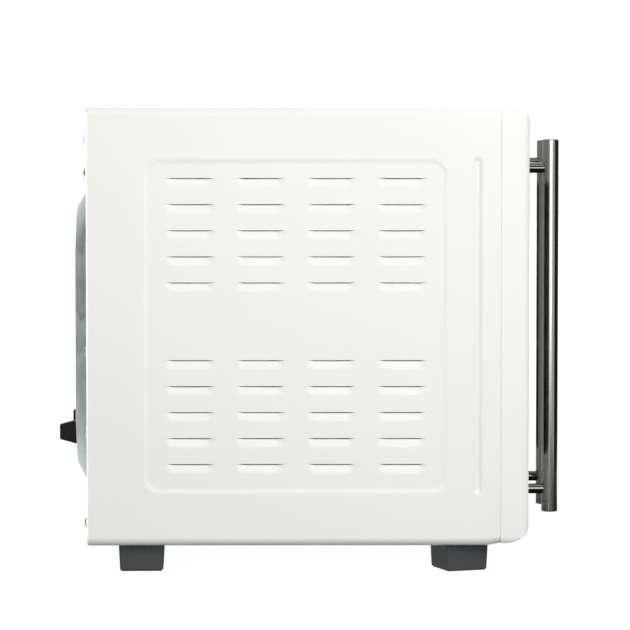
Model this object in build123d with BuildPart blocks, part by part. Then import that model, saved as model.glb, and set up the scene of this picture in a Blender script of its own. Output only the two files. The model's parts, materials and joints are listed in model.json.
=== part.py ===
from build123d import *
import os

# A countertop mini oven with two side-hinged doors and a control panel to their right.
# Millimetres. +Z is up, the doors face -Y, and +X is to the right of a person facing them.
# The origin is on the table, under the middle of the oven's bounding box.
# Depths named s count back from the front plane of the door frame.

# Painted cover and feet
body_width = 480.0
body_top = 383.0
foot_height = 23.0
cover_depth = 338.4
sheet = 0.8
cover_bend = 7.0
rear_flange = 13.0
bottom_return = 12.0
cover_toe_rise = 2.1
cover_toe_length = 10.5

# Pressed field, groove and louvres of each cover side
press_depth = 2.5
press_slope = 4.0
field_front = 68.0
field_length = 247.0
field_bottom = 69.0
field_height = 270.5
field_corner = 13.0
groove_front = 38.0
groove_width = 9.0
groove_below = 1.0
groove_above = 1.5
narrow_slope = 0.35
louvre_length = 41.5
louvre_height = 8.0
louvre_depth = 3.0
louvre_slope = 5.2
louvre_columns = 4
louvre_rows = 5
louvre_first = 104.6
louvre_pitch = 57.7
row_pitch = 21.35
upper_rows_top = 325.3
lower_rows_top = 176.2

# Frame round the doors and the control panel
frame_depth = 23.0
seam = 0.6
frame_step = 0.8
frame_rise = 2.2
frame_side_round = 5.0
top_bevel_depth = 5.2
top_bevel_height = 7.7
toe_depth = 20.3
toe_height = 13.3
frame_stile = 14.0
frame_sill = 16.0
frame_head = 17.0
mullion = 14.0
panel_width = 90.0
stop_thickness = 3.7
stop_width = 10.0
opening_corner = 3.0
tongue_length = 6.0
tongue_wall = 2.0
stile_wall = 2.5
fit_gap = 0.2
end_gap = 1.0
edge_bevel = 0.8

# Doors
door_gap = 1.5
door_split = 2.0
door_thickness = 18.0
door_recess = 1.0
outer_stile = 30.0
inner_stile = 27.0
bottom_rail = 40.5
top_rail = 44.0
window_corner = 6.0
rabbet = 6.0
door_lip = 5.0
glass_thickness = 4.0
retainer_thickness = 2.0
window_bevel = 1.5

# Door hinges
pin_radius = 3.0
pin_in_door = 12.0
pin_fit = 0.05
bush_radius = 5.0
bush_depth = 6.0
bush_flange_radius = 7.0
hinge_end_gap = 0.3

# Door handles
handle_inset = 29.0
bar_radius = 7.0
bar_length = 325.0
bar_bottom = 34.0
bar_bevel = 0.8
bar_stand_off = 30.5
post_radius = 4.5
post_spacing = 280.0
post_end = 20.0
post_fit = 0.03
handle_screw_radius = 2.0
screw_in_post = 12.0
screw_head_radius = 3.8
screw_head_height = 2.5
screw_pocket_wall = 8.0

# Magnetic catches
catch_length = 16.0
catch_height = 5.0
catch_inset = 4.0
strike_thickness = 1.5

# Control panel, dials and their mechanisms
panel_recess = 2.0
panel_thickness = 3.0
panel_ledge = 5.0
dial_top = 303.0
dial_pitch = 90.0
knob_radius = 20.0
knob_skirt = 5.0
knob_grip_radius = 17.0
knob_reach = 18.0
knob_gap = 0.4
knob_bevel = 1.2
mark_width = 1.6
mark_length = 9.0
mark_depth = 1.0
ring_inner = 21.5
ring_outer = 25.0
ring_thickness = 1.5
shaft_radius = 3.0
shaft_fit = 0.05
shaft_in_knob = 10.0
shaft_in_box = 22.0
neck_radius = 5.0
tab_width = 6.0
tab_length = 7.0
lamp_lens_height = 68.0
lamp_lens_radius = 3.5

# Oven cavity
cavity_side_inset = 14.0
cavity_sill = 12.0
cavity_head = 18.0
cavity_depth = 296.0
cavity_flange = 12.0
rail_first = 108.0
rail_pitch = 60.0
rail_count = 3
rail_half = 4.0
rail_reach = 6.0
rail_margin = 16.0
dish_radius = 85.0
dish_depth = 18.0
dish_slope = 10.0

# Fan
fan_height = 193.0
fan_radius = 62.0
fan_blades = 6
blade_width = 12.0
blade_tilt = 28.0
blade_thickness = 1.0
hub_radius = 9.0
hub_length = 10.0
hub_inset = 3.0
blade_root = 2.0
shaft_clearance = 2.0
guard_thickness = 1.0
guard_rim = 7.0
guard_slot_width = 5.0
guard_bridge = 4.0
guard_hub = 18.0
guard_band = 41.0
guard_edge = 79.0
guard_inner_slots = 6
guard_outer_slots = 24
motor_radius = 28.0
motor_length = 34.0
motor_flange = 36.0
motor_flange_thickness = 2.0

# Heaters
heater_radius = 3.3
heater_first = 110.0
heater_pitch = 120.0
upper_heater_height = 333.0
lower_heater_height = 71.0
insulator_radius = 6.5
insulator_length = 11.0
insulator_flange = 9.0
insulator_lip = 3.0
insulator_proud = 1.0
insulator_bore = 0.2
heater_tail = 3.0

# Shelves
rack_wire = 2.5
rack_bar = 1.5
rack_bars = 15
rack_length = 262.0
shelf_side_gap = 1.0
tray_sheet = 1.0
tray_depth = 24.0
tray_rim = 9.0
tray_draft = 4.0
tray_length = 250.0
tray_corner = 14.0
crumb_height = 8.0
crumb_gap = 5.0

# Cavity lamp
cavity_lamp_depth = 82.0
cavity_lamp_height = 293.0
lamp_hole = 13.0
lamp_glass_radius = 18.0
lamp_glass_reach = 7.0
lamp_glass_wall = 1.5
lamp_glass_seat = 1.0
holder_length = 19.0
holder_flange = 4.0
holder_wall = 1.0
holder_base = 2.0
bulb_radius = 9.0
bulb_cap = 5.0
bulb_shoulder = 2.0
bulb_nose = 5.0

# Rear panel
rear_sheet = 1.0
bulge_width = 266.0
bulge_bottom = 59.0
bulge_height = 264.7
bulge_corner = 34.0
bulge_shoulder = 13.9
bulge_shoulder_inset = 22.0
bulge_depth = 15.6
bulge_flat_inset = 37.0
rear_hoods = 5
hood_length = 54.0
hood_pitch = 92.0
hood_top = 364.5
hood_crest = 358.7
hood_bottom = 336.2
hood_reach = 4.6
rear_screw_inset = 7.5
rear_screw_heights = (42.0, 116.0, 183.0, 330.0)
rear_screw_radius = 2.0
rear_head_radius = 4.3
rear_head_height = 2.4
rear_screw_length = 7.0
motor_vents = 7
motor_vent_length = 56.0
motor_vent_pitch = 12.0

# Vents of the bottom plate
vent_width = 4.0
vent_length = 60.0
vent_pitch = 18.0
vent_row_pitch = 90.0
vent_columns = 16
vent_rows = 2

# Rear spacers
spacer_spread = 78.0
spacer_height = 108.3
spacer_root = 20.6
spacer_tip = 12.9
spacer_length = 14.7
spacer_width = 12.0
spacer_corner = 2.0

# Feet
foot_inset = 36.5
front_foot_depth = 55.4
rear_foot_depth = 319.6
foot_length = 38.0
foot_width = 38.0
foot_corner = 3.0
foot_draft = 3.0
foot_bevel = 1.6
front_foot_turn = 20.0
rear_foot_turn = 1.5
foot_screw_radius = 2.0
foot_screw_depth = 14.0
foot_head_radius = 4.0
foot_head_height = 2.2

# Cord gland, terminal block, inner brackets and heat shield
gland_inset = 50.0
gland_height = 69.0
gland_radius = 7.0
gland_flange = 11.0
gland_flange_thickness = 3.0
gland_nut_thickness = 4.0
gland_bore = 3.6
terminal_length = 42.0
terminal_width = 22.0
terminal_height = 16.0
terminal_inset = 110.0
terminal_hole = 2.5
shield_inset = 10.0
shield_flange = 9.0
bracket_width = 14.0
bracket_length = 34.0
bracket_sheet = 1.2
bracket_inset = 40.0
bracket_front_inset = 60.0

# Worked out from the sizes above
half_width = body_width / 2
cover_front = frame_depth + seam
cover_rear = cover_front + cover_depth
rear_plane = cover_rear + rear_sheet
bulge_plane = rear_plane + bulge_depth
total_depth = bar_stand_off + bar_radius + bulge_plane + spacer_length
front_y = bar_stand_off + bar_radius - total_depth / 2
opening_left = frame_stile - half_width
panel_right = half_width - frame_stile
panel_left = panel_right - panel_width
opening_right = panel_left - mullion
opening_width = opening_right - opening_left
opening_bottom = foot_height + frame_sill
opening_top = body_top - frame_head
split_x = opening_left + opening_width / 2
dial_x = panel_left + panel_width / 2
dial_heights = [dial_top - dial_pitch * place for place in range(3)]
stop_front = frame_depth - stop_thickness
pivot_depth = door_recess + door_thickness / 2
door_width = (opening_width - 2 * door_gap - door_split) / 2
door_bottom = opening_bottom + door_gap
door_top = opening_top - door_gap
door_back = door_recess + door_thickness
cavity_left = opening_left + cavity_side_inset
cavity_right = opening_right - cavity_side_inset
cavity_bottom = opening_bottom + cavity_sill
cavity_top = opening_top - cavity_head
cavity_back = frame_depth + cavity_depth
cavity_x = (cavity_left + cavity_right) / 2
shield_x = opening_right + shield_inset
foot_x = half_width - foot_inset
gland_x = half_width - gland_inset
dish_back = cavity_back + dish_depth
plate_bottom = foot_height + sheet
plate_top = plate_bottom + sheet
panel_face = panel_recess
panel_back = panel_recess + panel_thickness
rail_heights = [rail_first + rail_pitch * place for place in range(rail_count)]


def y_at(s):
    """The Y of a depth s behind the front plane."""
    return front_y + s


def block(x, s, z, mode=Mode.ADD):
    """A block between the low and high x, depth and height."""
    middle = ((x[0] + x[1]) / 2, y_at((s[0] + s[1]) / 2), (z[0] + z[1]) / 2)
    with Locations(middle):
        Box(x[1] - x[0], s[1] - s[0], z[1] - z[0], mode=mode)


def front_slab(x, s, z, corner, mode=Mode.ADD):
    """A slab with rounded corners as seen from the front."""
    with BuildSketch(Plane.XZ.offset(-y_at(s[0]))) as outline:
        with Locations(((x[0] + x[1]) / 2, (z[0] + z[1]) / 2)):
            RectangleRounded(x[1] - x[0], z[1] - z[0], corner)
    extrude(outline.sketch, amount=s[0] - s[1], mode=mode)


def round_y(x, z, radius, s, mode=Mode.ADD):
    """A round bar or bore along Y."""
    with BuildSketch(Plane.XZ.offset(-y_at(s[0]))) as outline:
        with Locations((x, z)):
            Circle(radius)
    extrude(outline.sketch, amount=s[0] - s[1], mode=mode)


def round_x(s, z, radius, x, mode=Mode.ADD):
    """A round bar or bore along X."""
    with BuildSketch(Plane.YZ.offset(x[0])) as outline:
        with Locations((y_at(s), z)):
            Circle(radius)
    extrude(outline.sketch, amount=x[1] - x[0], mode=mode)


def round_z(x, s, radius, z, mode=Mode.ADD):
    """A round bar or bore along Z."""
    with BuildSketch(Plane.XY.offset(z[0])) as outline:
        with Locations((x, y_at(s))):
            Circle(radius)
    extrude(outline.sketch, amount=z[1] - z[0], mode=mode)


def side_prism(points, x, mode=Mode.ADD):
    """A shape drawn from the side in depth and height, run along X."""
    with BuildSketch(Plane.YZ.offset(x[0])) as outline:
        with BuildLine():
            Polyline(*[(y_at(s), z) for s, z in points], close=True)
        make_face()
    extrude(outline.sketch, amount=x[1] - x[0], mode=mode)


def save(piece, name):
    """Label a finished piece and write it."""
    piece.part.label = name
    export_step(piece.part, f"parts/{name}.step")


# Pressings of the left cover side, mirrored later for the right one
def side_pressing(s, z, corner, grow, start, mode=Mode.ADD):
    """A shallow rounded pan pressed inwards from the cover's left face."""
    middle = (y_at((s[0] + s[1]) / 2), (z[0] + z[1]) / 2)
    long = s[1] - s[0] + 2 * grow
    tall = z[1] - z[0] + 2 * grow
    slope = min(press_slope, narrow_slope * min(s[1] - s[0], z[1] - z[0]))
    with BuildSketch(Plane.YZ.offset(start - half_width)) as mouth:
        with Locations(middle):
            RectangleRounded(long, tall, corner + grow)
    with BuildSketch(Plane.YZ.offset(start + press_depth - half_width)) as floor:
        with Locations(middle):
            RectangleRounded(long - 2 * slope, tall - 2 * slope, corner + grow - slope)
    loft([mouth.sketch, floor.sketch], mode=mode)


def louvre_scoop(grow, start, depth):
    """The lower half of a sloping slot, which one louvre presses inwards."""
    for far in (False, True):
        inset = louvre_slope if far else 0.0
        with BuildSketch(Plane.YZ.offset(start + far * depth)) as section:
            SlotOverall(louvre_length + 2 * (grow - inset), 2 * (louvre_height + grow - inset))
            with Locations((0, louvre_height)):
                Rectangle(2 * louvre_length, 2 * louvre_height, mode=Mode.SUBTRACT)
        yield section.sketch


field_ends = (field_front, field_front + field_length)
field_heights = (field_bottom, field_bottom + field_height)
groove_ends = (groove_front, groove_front + groove_width)
groove_heights = (field_bottom - groove_below, field_bottom + field_height + groove_above)
louvre_places = []
for top_row in (upper_rows_top, lower_rows_top):
    for row in range(louvre_rows):
        for column in range(louvre_columns):
            along = y_at(louvre_first + column * louvre_pitch)
            louvre_places.append((0, along, top_row - row * row_pitch))

with BuildPart() as louvre_skin:
    loft(list(louvre_scoop(sheet, press_depth - half_width, louvre_depth + sheet)))

with BuildPart() as louvre_hollow:
    loft(list(louvre_scoop(0.0, press_depth - half_width, louvre_depth)))

with BuildPart() as pressed_skin:
    side_pressing(field_ends, field_heights, field_corner, sheet, sheet)
    side_pressing(groove_ends, groove_heights, groove_width / 2 - fit_gap, sheet, sheet)
    with Locations(*louvre_places):
        add(louvre_skin.part)

with BuildPart() as pressed_hollow:
    side_pressing(field_ends, field_heights, field_corner, 0.0, 0.0)
    side_pressing(groove_ends, groove_heights, groove_width / 2 - fit_gap, 0.0, 0.0)
    with Locations(*louvre_places):
        add(louvre_hollow.part)

# Outer cover, a wrap open at the front, with a turned-in edge at the rear and underneath
with BuildPart() as outer_cover:
    front_slab((-half_width, half_width), (cover_front, cover_rear),
               (foot_height, body_top), cover_bend)
    front_slab((sheet - half_width, half_width - sheet), (cover_front, cover_rear - sheet),
               (plate_bottom, body_top - sheet), cover_bend - sheet, Mode.SUBTRACT)
    front_slab((rear_flange - half_width, half_width - rear_flange),
               (cover_rear - sheet, cover_rear),
               (foot_height + rear_flange, body_top - rear_flange), cover_bend, Mode.SUBTRACT)
    block((bottom_return - half_width, half_width - bottom_return),
          (cover_front, cover_rear - sheet), (foot_height, plate_bottom), Mode.SUBTRACT)
    side_prism([(cover_front, foot_height), (cover_front, foot_height + cover_toe_rise),
                (cover_front + cover_toe_length, foot_height)],
               (-half_width, half_width), Mode.SUBTRACT)
    add(pressed_skin.part)
    mirror(pressed_skin.part, about=Plane.YZ)
    add(pressed_hollow.part, mode=Mode.SUBTRACT)
    mirror(pressed_hollow.part, about=Plane.YZ, mode=Mode.SUBTRACT)
    for side in (-1, 1):
        for height in rear_screw_heights:
            round_y(side * (half_width - rear_screw_inset), height, rear_screw_radius,
                    (cover_rear - sheet, cover_rear), Mode.SUBTRACT)
save(outer_cover, "outer_cover")

# Bottom plate, laid on the cover's turned-in edges
plate_front = cover_front + cover_toe_length + end_gap
plate_rear = cover_rear - sheet - fit_gap
plate_half = half_width - cover_bend - fit_gap
foot_places = [(side * foot_x, depth) for side in (-1, 1)
               for depth in (front_foot_depth, rear_foot_depth)]
with BuildPart() as bottom_plate:
    block((-plate_half, plate_half), (plate_front, plate_rear), (plate_bottom, plate_top))
    for x, depth in foot_places:
        round_z(x, depth, foot_screw_radius + fit_gap, (plate_bottom, plate_top), Mode.SUBTRACT)
    slot_middle = y_at((front_foot_depth + rear_foot_depth) / 2)
    with BuildSketch(Plane.XY.offset(plate_bottom)) as vent_slots:
        with Locations((0, slot_middle)):
            with GridLocations(vent_pitch, vent_row_pitch, vent_columns, vent_rows):
                SlotOverall(vent_length, vent_width, rotation=90)
    extrude(vent_slots.sketch, amount=sheet, mode=Mode.SUBTRACT)
save(bottom_plate, "bottom_plate")

# Rear panel, with a stamped bulge behind the fan motor and hooded vents along its top
bulge_x = (cavity_x - bulge_width / 2, cavity_x + bulge_width / 2)
bulge_z = (bulge_bottom, bulge_bottom + bulge_height)


def bulge_section(depth, inset, grow):
    """One outline of the stamped bulge at a depth behind the rear plane."""
    with BuildSketch(Plane.XZ.offset(-y_at(rear_plane + depth))) as outline:
        with Locations(((bulge_x[0] + bulge_x[1]) / 2, (bulge_z[0] + bulge_z[1]) / 2)):
            RectangleRounded(bulge_width - 2 * (inset - grow), bulge_height - 2 * (inset - grow),
                             bulge_corner)
    return outline.sketch


with BuildPart() as rear_panel:
    front_slab((fit_gap - half_width, half_width - fit_gap), (cover_rear, rear_plane),
               (foot_height + fit_gap, body_top - fit_gap), cover_bend - fit_gap)
    loft([bulge_section(0, 0, 0), bulge_section(bulge_shoulder, bulge_shoulder_inset, 0)],
         ruled=True)
    loft([bulge_section(bulge_shoulder, bulge_shoulder_inset, 0),
          bulge_section(bulge_depth, bulge_flat_inset, 0)], ruled=True)
    loft([bulge_section(-rear_sheet, 0, -rear_sheet),
          bulge_section(bulge_shoulder - rear_sheet, bulge_shoulder_inset, -rear_sheet)],
         ruled=True, mode=Mode.SUBTRACT)
    loft([bulge_section(bulge_shoulder - rear_sheet, bulge_shoulder_inset, -rear_sheet),
          bulge_section(bulge_depth - rear_sheet, bulge_flat_inset, -rear_sheet)],
         ruled=True, mode=Mode.SUBTRACT)
    for place in range(rear_hoods):
        x = (place - (rear_hoods - 1) / 2) * hood_pitch
        side_prism([(rear_plane, hood_top), (rear_plane + hood_reach, hood_crest),
                    (rear_plane, hood_bottom)], (x - hood_length / 2, x + hood_length / 2))
        side_prism([(cover_rear, hood_top + rear_sheet),
                    (rear_plane, hood_top + rear_sheet),
                    (rear_plane + hood_reach - rear_sheet, hood_crest + rear_sheet),
                    (rear_plane + hood_reach - rear_sheet, hood_crest),
                    (cover_rear, hood_bottom)],
                   (x - hood_length / 2 + rear_sheet, x + hood_length / 2 - rear_sheet),
                   Mode.SUBTRACT)
    for side in (-1, 1):
        for height in rear_screw_heights:
            round_y(side * (half_width - rear_screw_inset), height,
                    rear_screw_radius + fit_gap, (cover_rear, rear_plane), Mode.SUBTRACT)
    round_y(gland_x, gland_height, gland_radius + fit_gap, (cover_rear, rear_plane),
            Mode.SUBTRACT)
    with BuildSketch(Plane.XZ.offset(-y_at(bulge_plane))) as motor_slots:
        with Locations((cavity_x, fan_height)):
            with GridLocations(motor_vent_pitch, 1, motor_vents, 1):
                SlotOverall(motor_vent_length, vent_width, rotation=90)
    extrude(motor_slots.sketch, amount=rear_sheet, dir=(0, -1, 0), mode=Mode.SUBTRACT)
save(rear_panel, "rear_panel")

# Rear screws, driven through the panel into the cover's turned-in edge
with BuildPart() as rear_screws:
    for side in (-1, 1):
        for height in rear_screw_heights:
            x = side * (half_width - rear_screw_inset)
            round_y(x, height, rear_screw_radius - pin_fit,
                    (rear_plane - rear_screw_length, rear_plane))
            round_y(x, height, rear_head_radius, (rear_plane, rear_plane + rear_head_height))
    rims = rear_screws.edges().group_by(Axis.Y)[-1]
    fillet(rims, rear_head_height / 2)
save(rear_screws, "rear_screws")

# Front frame, shaped by its side, front and plan outlines
frame_top = body_top - frame_step
frame_bottom = foot_height + frame_rise
with BuildPart() as front_frame:
    with BuildSketch(Plane.YZ.offset(-half_width)) as side_outline:
        with BuildLine():
            Polyline((y_at(toe_depth), frame_bottom), (y_at(frame_depth), frame_bottom),
                     (y_at(frame_depth), frame_top), (y_at(top_bevel_depth), frame_top),
                     (y_at(0), frame_top - top_bevel_height),
                     (y_at(0), frame_bottom + toe_height))
            EllipticalCenterArc((y_at(toe_depth), frame_bottom + toe_height),
                                toe_depth, toe_height, start_angle=180, arc_size=90)
        make_face()
    extrude(amount=body_width)
    with BuildSketch(Plane.XZ.offset(-y_at(0))) as face_outline:
        with Locations((0, (body_top - frame_step + foot_height) / 2)):
            RectangleRounded(body_width, body_top - frame_step - foot_height, cover_bend)
    extrude(face_outline.sketch, amount=-frame_depth, mode=Mode.INTERSECT)
    with BuildSketch(Plane.XY) as plan_outline:
        with Locations((0, y_at(frame_depth))):
            Rectangle(body_width, 2 * frame_depth)
        fillet(plan_outline.vertices().group_by(Axis.Y)[0], frame_side_round)
    extrude(plan_outline.sketch, amount=body_top, mode=Mode.INTERSECT)
    # The pocket that the doors close, the stop behind them and the panel's own pocket
    front_slab((opening_left, opening_right), (0, stop_front),
               (opening_bottom, opening_top), opening_corner, Mode.SUBTRACT)
    front_slab((opening_left + stop_width, opening_right - stop_width),
               (stop_front, frame_depth),
               (opening_bottom + stop_width, opening_top - stop_width),
               opening_corner, Mode.SUBTRACT)
    front_slab((panel_left, panel_right), (0, panel_back),
               (opening_bottom, opening_top), opening_corner, Mode.SUBTRACT)
    front_slab((panel_left + panel_ledge, panel_right - panel_ledge),
               (panel_back, frame_depth),
               (opening_bottom + panel_ledge, opening_top - panel_ledge),
               opening_corner, Mode.SUBTRACT)
    face_edges = front_frame.faces().sort_by(Axis.Y)[0].inner_wires()
    for wire in face_edges:
        chamfer(wire.edges(), edge_bevel)
    # The tongue that the cover slides over
    tongue_half = half_width - sheet - fit_gap
    tongue_z = (frame_bottom + edge_bevel, body_top - sheet - fit_gap)
    tongue_s = (frame_depth, frame_depth + tongue_length)
    front_slab((-tongue_half, tongue_half), tongue_s, tongue_z, cover_bend - sheet)
    front_slab((tongue_wall - tongue_half, tongue_half - tongue_wall), tongue_s,
               (tongue_z[0] + tongue_wall, tongue_z[1] - tongue_wall),
               cover_bend - sheet - tongue_wall, Mode.SUBTRACT)
    # Hinge bush seats above and below each door
    hinge_x = (opening_left + door_gap + door_thickness / 2,
               opening_right - door_gap - door_thickness / 2)
    for x in hinge_x:
        round_z(x, pivot_depth, bush_radius + pin_fit,
                (opening_bottom - bush_depth, opening_bottom), Mode.SUBTRACT)
        round_z(x, pivot_depth, bush_radius + pin_fit,
                (opening_top, opening_top + bush_depth), Mode.SUBTRACT)
    # Seats of the two magnets
    catch_z = (door_top - catch_inset / 2 - catch_height, door_top - catch_inset / 2)
    for side in (-1, 1):
        near = split_x + side * catch_inset
        far = near + side * catch_length
        block((min(near, far) - fit_gap, max(near, far) + fit_gap), (stop_front, frame_depth),
              (catch_z[0] - fit_gap, catch_z[1] + fit_gap), Mode.SUBTRACT)
    # The frame is a moulding, so its thick stiles and top rail are hollow from behind
    stile_z = (opening_bottom + stop_width, opening_top - stop_width)
    block((stile_wall - half_width, opening_left - stile_wall),
          (frame_side_round + stile_wall, frame_depth), stile_z, Mode.SUBTRACT)
    block((opening_right + stile_wall, panel_left - stile_wall), (stile_wall, frame_depth),
          stile_z, Mode.SUBTRACT)
save(front_frame, "front_frame")

# Hinge bushes, flanged so that a door rests on the lower one
bush_flange = door_gap - hinge_end_gap
with BuildPart() as hinge_bushes:
    for x in hinge_x:
        round_z(x, pivot_depth, bush_radius, (opening_bottom - bush_depth, opening_bottom))
        round_z(x, pivot_depth, bush_flange_radius,
                (opening_bottom, opening_bottom + bush_flange))
        round_z(x, pivot_depth, bush_radius, (opening_top, opening_top + bush_depth))
        round_z(x, pivot_depth, bush_flange_radius, (opening_top - bush_flange, opening_top))
        round_z(x, pivot_depth, pin_radius + pin_fit,
                (opening_bottom - bush_depth, opening_top + bush_depth), Mode.SUBTRACT)
save(hinge_bushes, "hinge_bushes")

# Magnets of the door catches
with BuildPart() as door_catches:
    for side in (-1, 1):
        near = split_x + side * catch_inset
        far = near + side * catch_length
        block((min(near, far), max(near, far)), (stop_front, frame_depth), catch_z)
save(door_catches, "door_catches")


# The two doors, the right one a mirror of the left but for its handle
def make_door(side, name, post_bottom):
    """All the pieces of one door; side is -1 for the left one and 1 for the right one."""
    hinge_edge = opening_left + door_gap if side < 0 else opening_right - door_gap

    def across(near, far):
        """The low and high x of a span that starts at the hinge edge."""
        ends = (hinge_edge - side * near, hinge_edge - side * far)
        return min(ends), max(ends)

    pivot_x = hinge_edge - side * door_thickness / 2
    handle_x = hinge_edge - side * (door_width - handle_inset)
    window_x = across(outer_stile, door_width - inner_stile)
    window_z = (door_bottom + bottom_rail, door_top - top_rail)
    rabbet_x = (window_x[0] - rabbet, window_x[1] + rabbet)
    rabbet_z = (window_z[0] - rabbet, window_z[1] + rabbet)
    post_heights = (post_bottom, post_bottom + post_spacing)
    pocket_floor = door_recess + screw_pocket_wall
    strike_x = across(door_width + door_split / 2 - catch_inset - catch_length,
                      door_width + door_split / 2 - catch_inset)

    with BuildPart() as door_frame:
        block(across(door_thickness / 2, door_width), (door_recess, door_back),
              (door_bottom, door_top))
        round_z(pivot_x, pivot_depth, door_thickness / 2, (door_bottom, door_top))
        front_slab(window_x, (door_recess, door_back), window_z, window_corner, Mode.SUBTRACT)
        chamfer(max(door_frame.faces().sort_by(Axis.Y)[0].inner_wires(),
                    key=lambda wire: wire.length).edges(), window_bevel)
        front_slab(rabbet_x, (door_recess + door_lip, door_back), rabbet_z,
                   window_corner + rabbet, Mode.SUBTRACT)
        round_z(pivot_x, pivot_depth, pin_radius + pin_fit,
                (door_bottom, door_bottom + pin_in_door), Mode.SUBTRACT)
        round_z(pivot_x, pivot_depth, pin_radius + pin_fit,
                (door_top - pin_in_door, door_top), Mode.SUBTRACT)
        for height in post_heights:
            round_y(handle_x, height, handle_screw_radius + fit_gap,
                    (door_recess, pocket_floor), Mode.SUBTRACT)
            round_y(handle_x, height, screw_head_radius + 3 * fit_gap,
                    (pocket_floor, door_back), Mode.SUBTRACT)
        block((strike_x[0] - fit_gap, strike_x[1] + fit_gap),
              (door_back - strike_thickness, door_back),
              (catch_z[0] - fit_gap, catch_z[1] + fit_gap), Mode.SUBTRACT)
    save(door_frame, f"{name}_door_frame")

    glass_front = door_recess + door_lip
    glass_back = glass_front + glass_thickness
    with BuildPart() as door_glass:
        front_slab((rabbet_x[0] + fit_gap, rabbet_x[1] - fit_gap), (glass_front, glass_back),
                   (rabbet_z[0] + fit_gap, rabbet_z[1] - fit_gap), window_corner + rabbet)
    save(door_glass, f"{name}_door_glass")

    with BuildPart() as door_retainer:
        retainer_s = (glass_back, glass_back + retainer_thickness)
        front_slab((rabbet_x[0] + fit_gap, rabbet_x[1] - fit_gap), retainer_s,
                   (rabbet_z[0] + fit_gap, rabbet_z[1] - fit_gap), window_corner + rabbet)
        front_slab(window_x, retainer_s, window_z, window_corner, Mode.SUBTRACT)
    save(door_retainer, f"{name}_door_retainer")

    with BuildPart() as handle_bar:
        round_z(handle_x, -bar_stand_off, bar_radius, (bar_bottom, bar_bottom + bar_length))
        chamfer(handle_bar.edges(), bar_bevel)
    save(handle_bar, f"{name}_handle_bar")

    with BuildPart() as handle_posts:
        for height in post_heights:
            round_y(handle_x, height, post_radius, (-bar_stand_off, door_recess))
        round_z(handle_x, -bar_stand_off, bar_radius + post_fit,
                (bar_bottom, bar_bottom + bar_length), Mode.SUBTRACT)
        for height in post_heights:
            round_y(handle_x, height, handle_screw_radius + pin_fit,
                    (door_recess - screw_in_post - end_gap, door_recess), Mode.SUBTRACT)
    save(handle_posts, f"{name}_handle_posts")

    with BuildPart() as handle_screws:
        for height in post_heights:
            round_y(handle_x, height, handle_screw_radius,
                    (door_recess - screw_in_post, pocket_floor))
            round_y(handle_x, height, screw_head_radius,
                    (pocket_floor, pocket_floor + screw_head_height))
    save(handle_screws, f"{name}_handle_screws")

    with BuildPart() as hinge_pins:
        pin_out = door_gap + bush_depth - hinge_end_gap
        round_z(pivot_x, pivot_depth, pin_radius,
                (door_bottom - pin_out, door_bottom + pin_in_door))
        round_z(pivot_x, pivot_depth, pin_radius, (door_top - pin_in_door, door_top + pin_out))
    save(hinge_pins, f"{name}_hinge_pins")

    with BuildPart() as strike_plate:
        block(strike_x, (door_back - strike_thickness, door_back), catch_z)
    save(strike_plate, f"{name}_strike_plate")


make_door(-1, "left", bar_bottom + post_end)
make_door(1, "right", bar_bottom + bar_length - post_end - post_spacing)

# Control panel with a hole for each dial and for the lamp's lens
with BuildPart() as control_panel:
    front_slab((panel_left + fit_gap, panel_right - fit_gap), (panel_face, panel_back),
               (opening_bottom + fit_gap, opening_top - fit_gap), opening_corner)
    for height in dial_heights:
        round_y(dial_x, height, neck_radius + fit_gap, (panel_face, panel_back), Mode.SUBTRACT)
    round_y(dial_x, lamp_lens_height, lamp_lens_radius + fit_gap, (panel_face, panel_back),
            Mode.SUBTRACT)
save(control_panel, "control_panel")

# Trim rings round the dials
with BuildPart() as dial_rings:
    for height in dial_heights:
        round_y(dial_x, height, ring_outer, (panel_face - ring_thickness, panel_face))
        round_y(dial_x, height, ring_inner, (panel_face - ring_thickness, panel_face),
                Mode.SUBTRACT)
save(dial_rings, "dial_rings")

# Indicator lamp, a lens in the panel on a small body behind it
with BuildPart() as indicator_lamp:
    round_y(dial_x, lamp_lens_height, lamp_lens_radius,
            (panel_face - ring_thickness, panel_back))
    round_y(dial_x, lamp_lens_height, 2 * lamp_lens_radius,
            (panel_back, panel_back + 4 * lamp_lens_radius))
save(indicator_lamp, "indicator_lamp")

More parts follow.
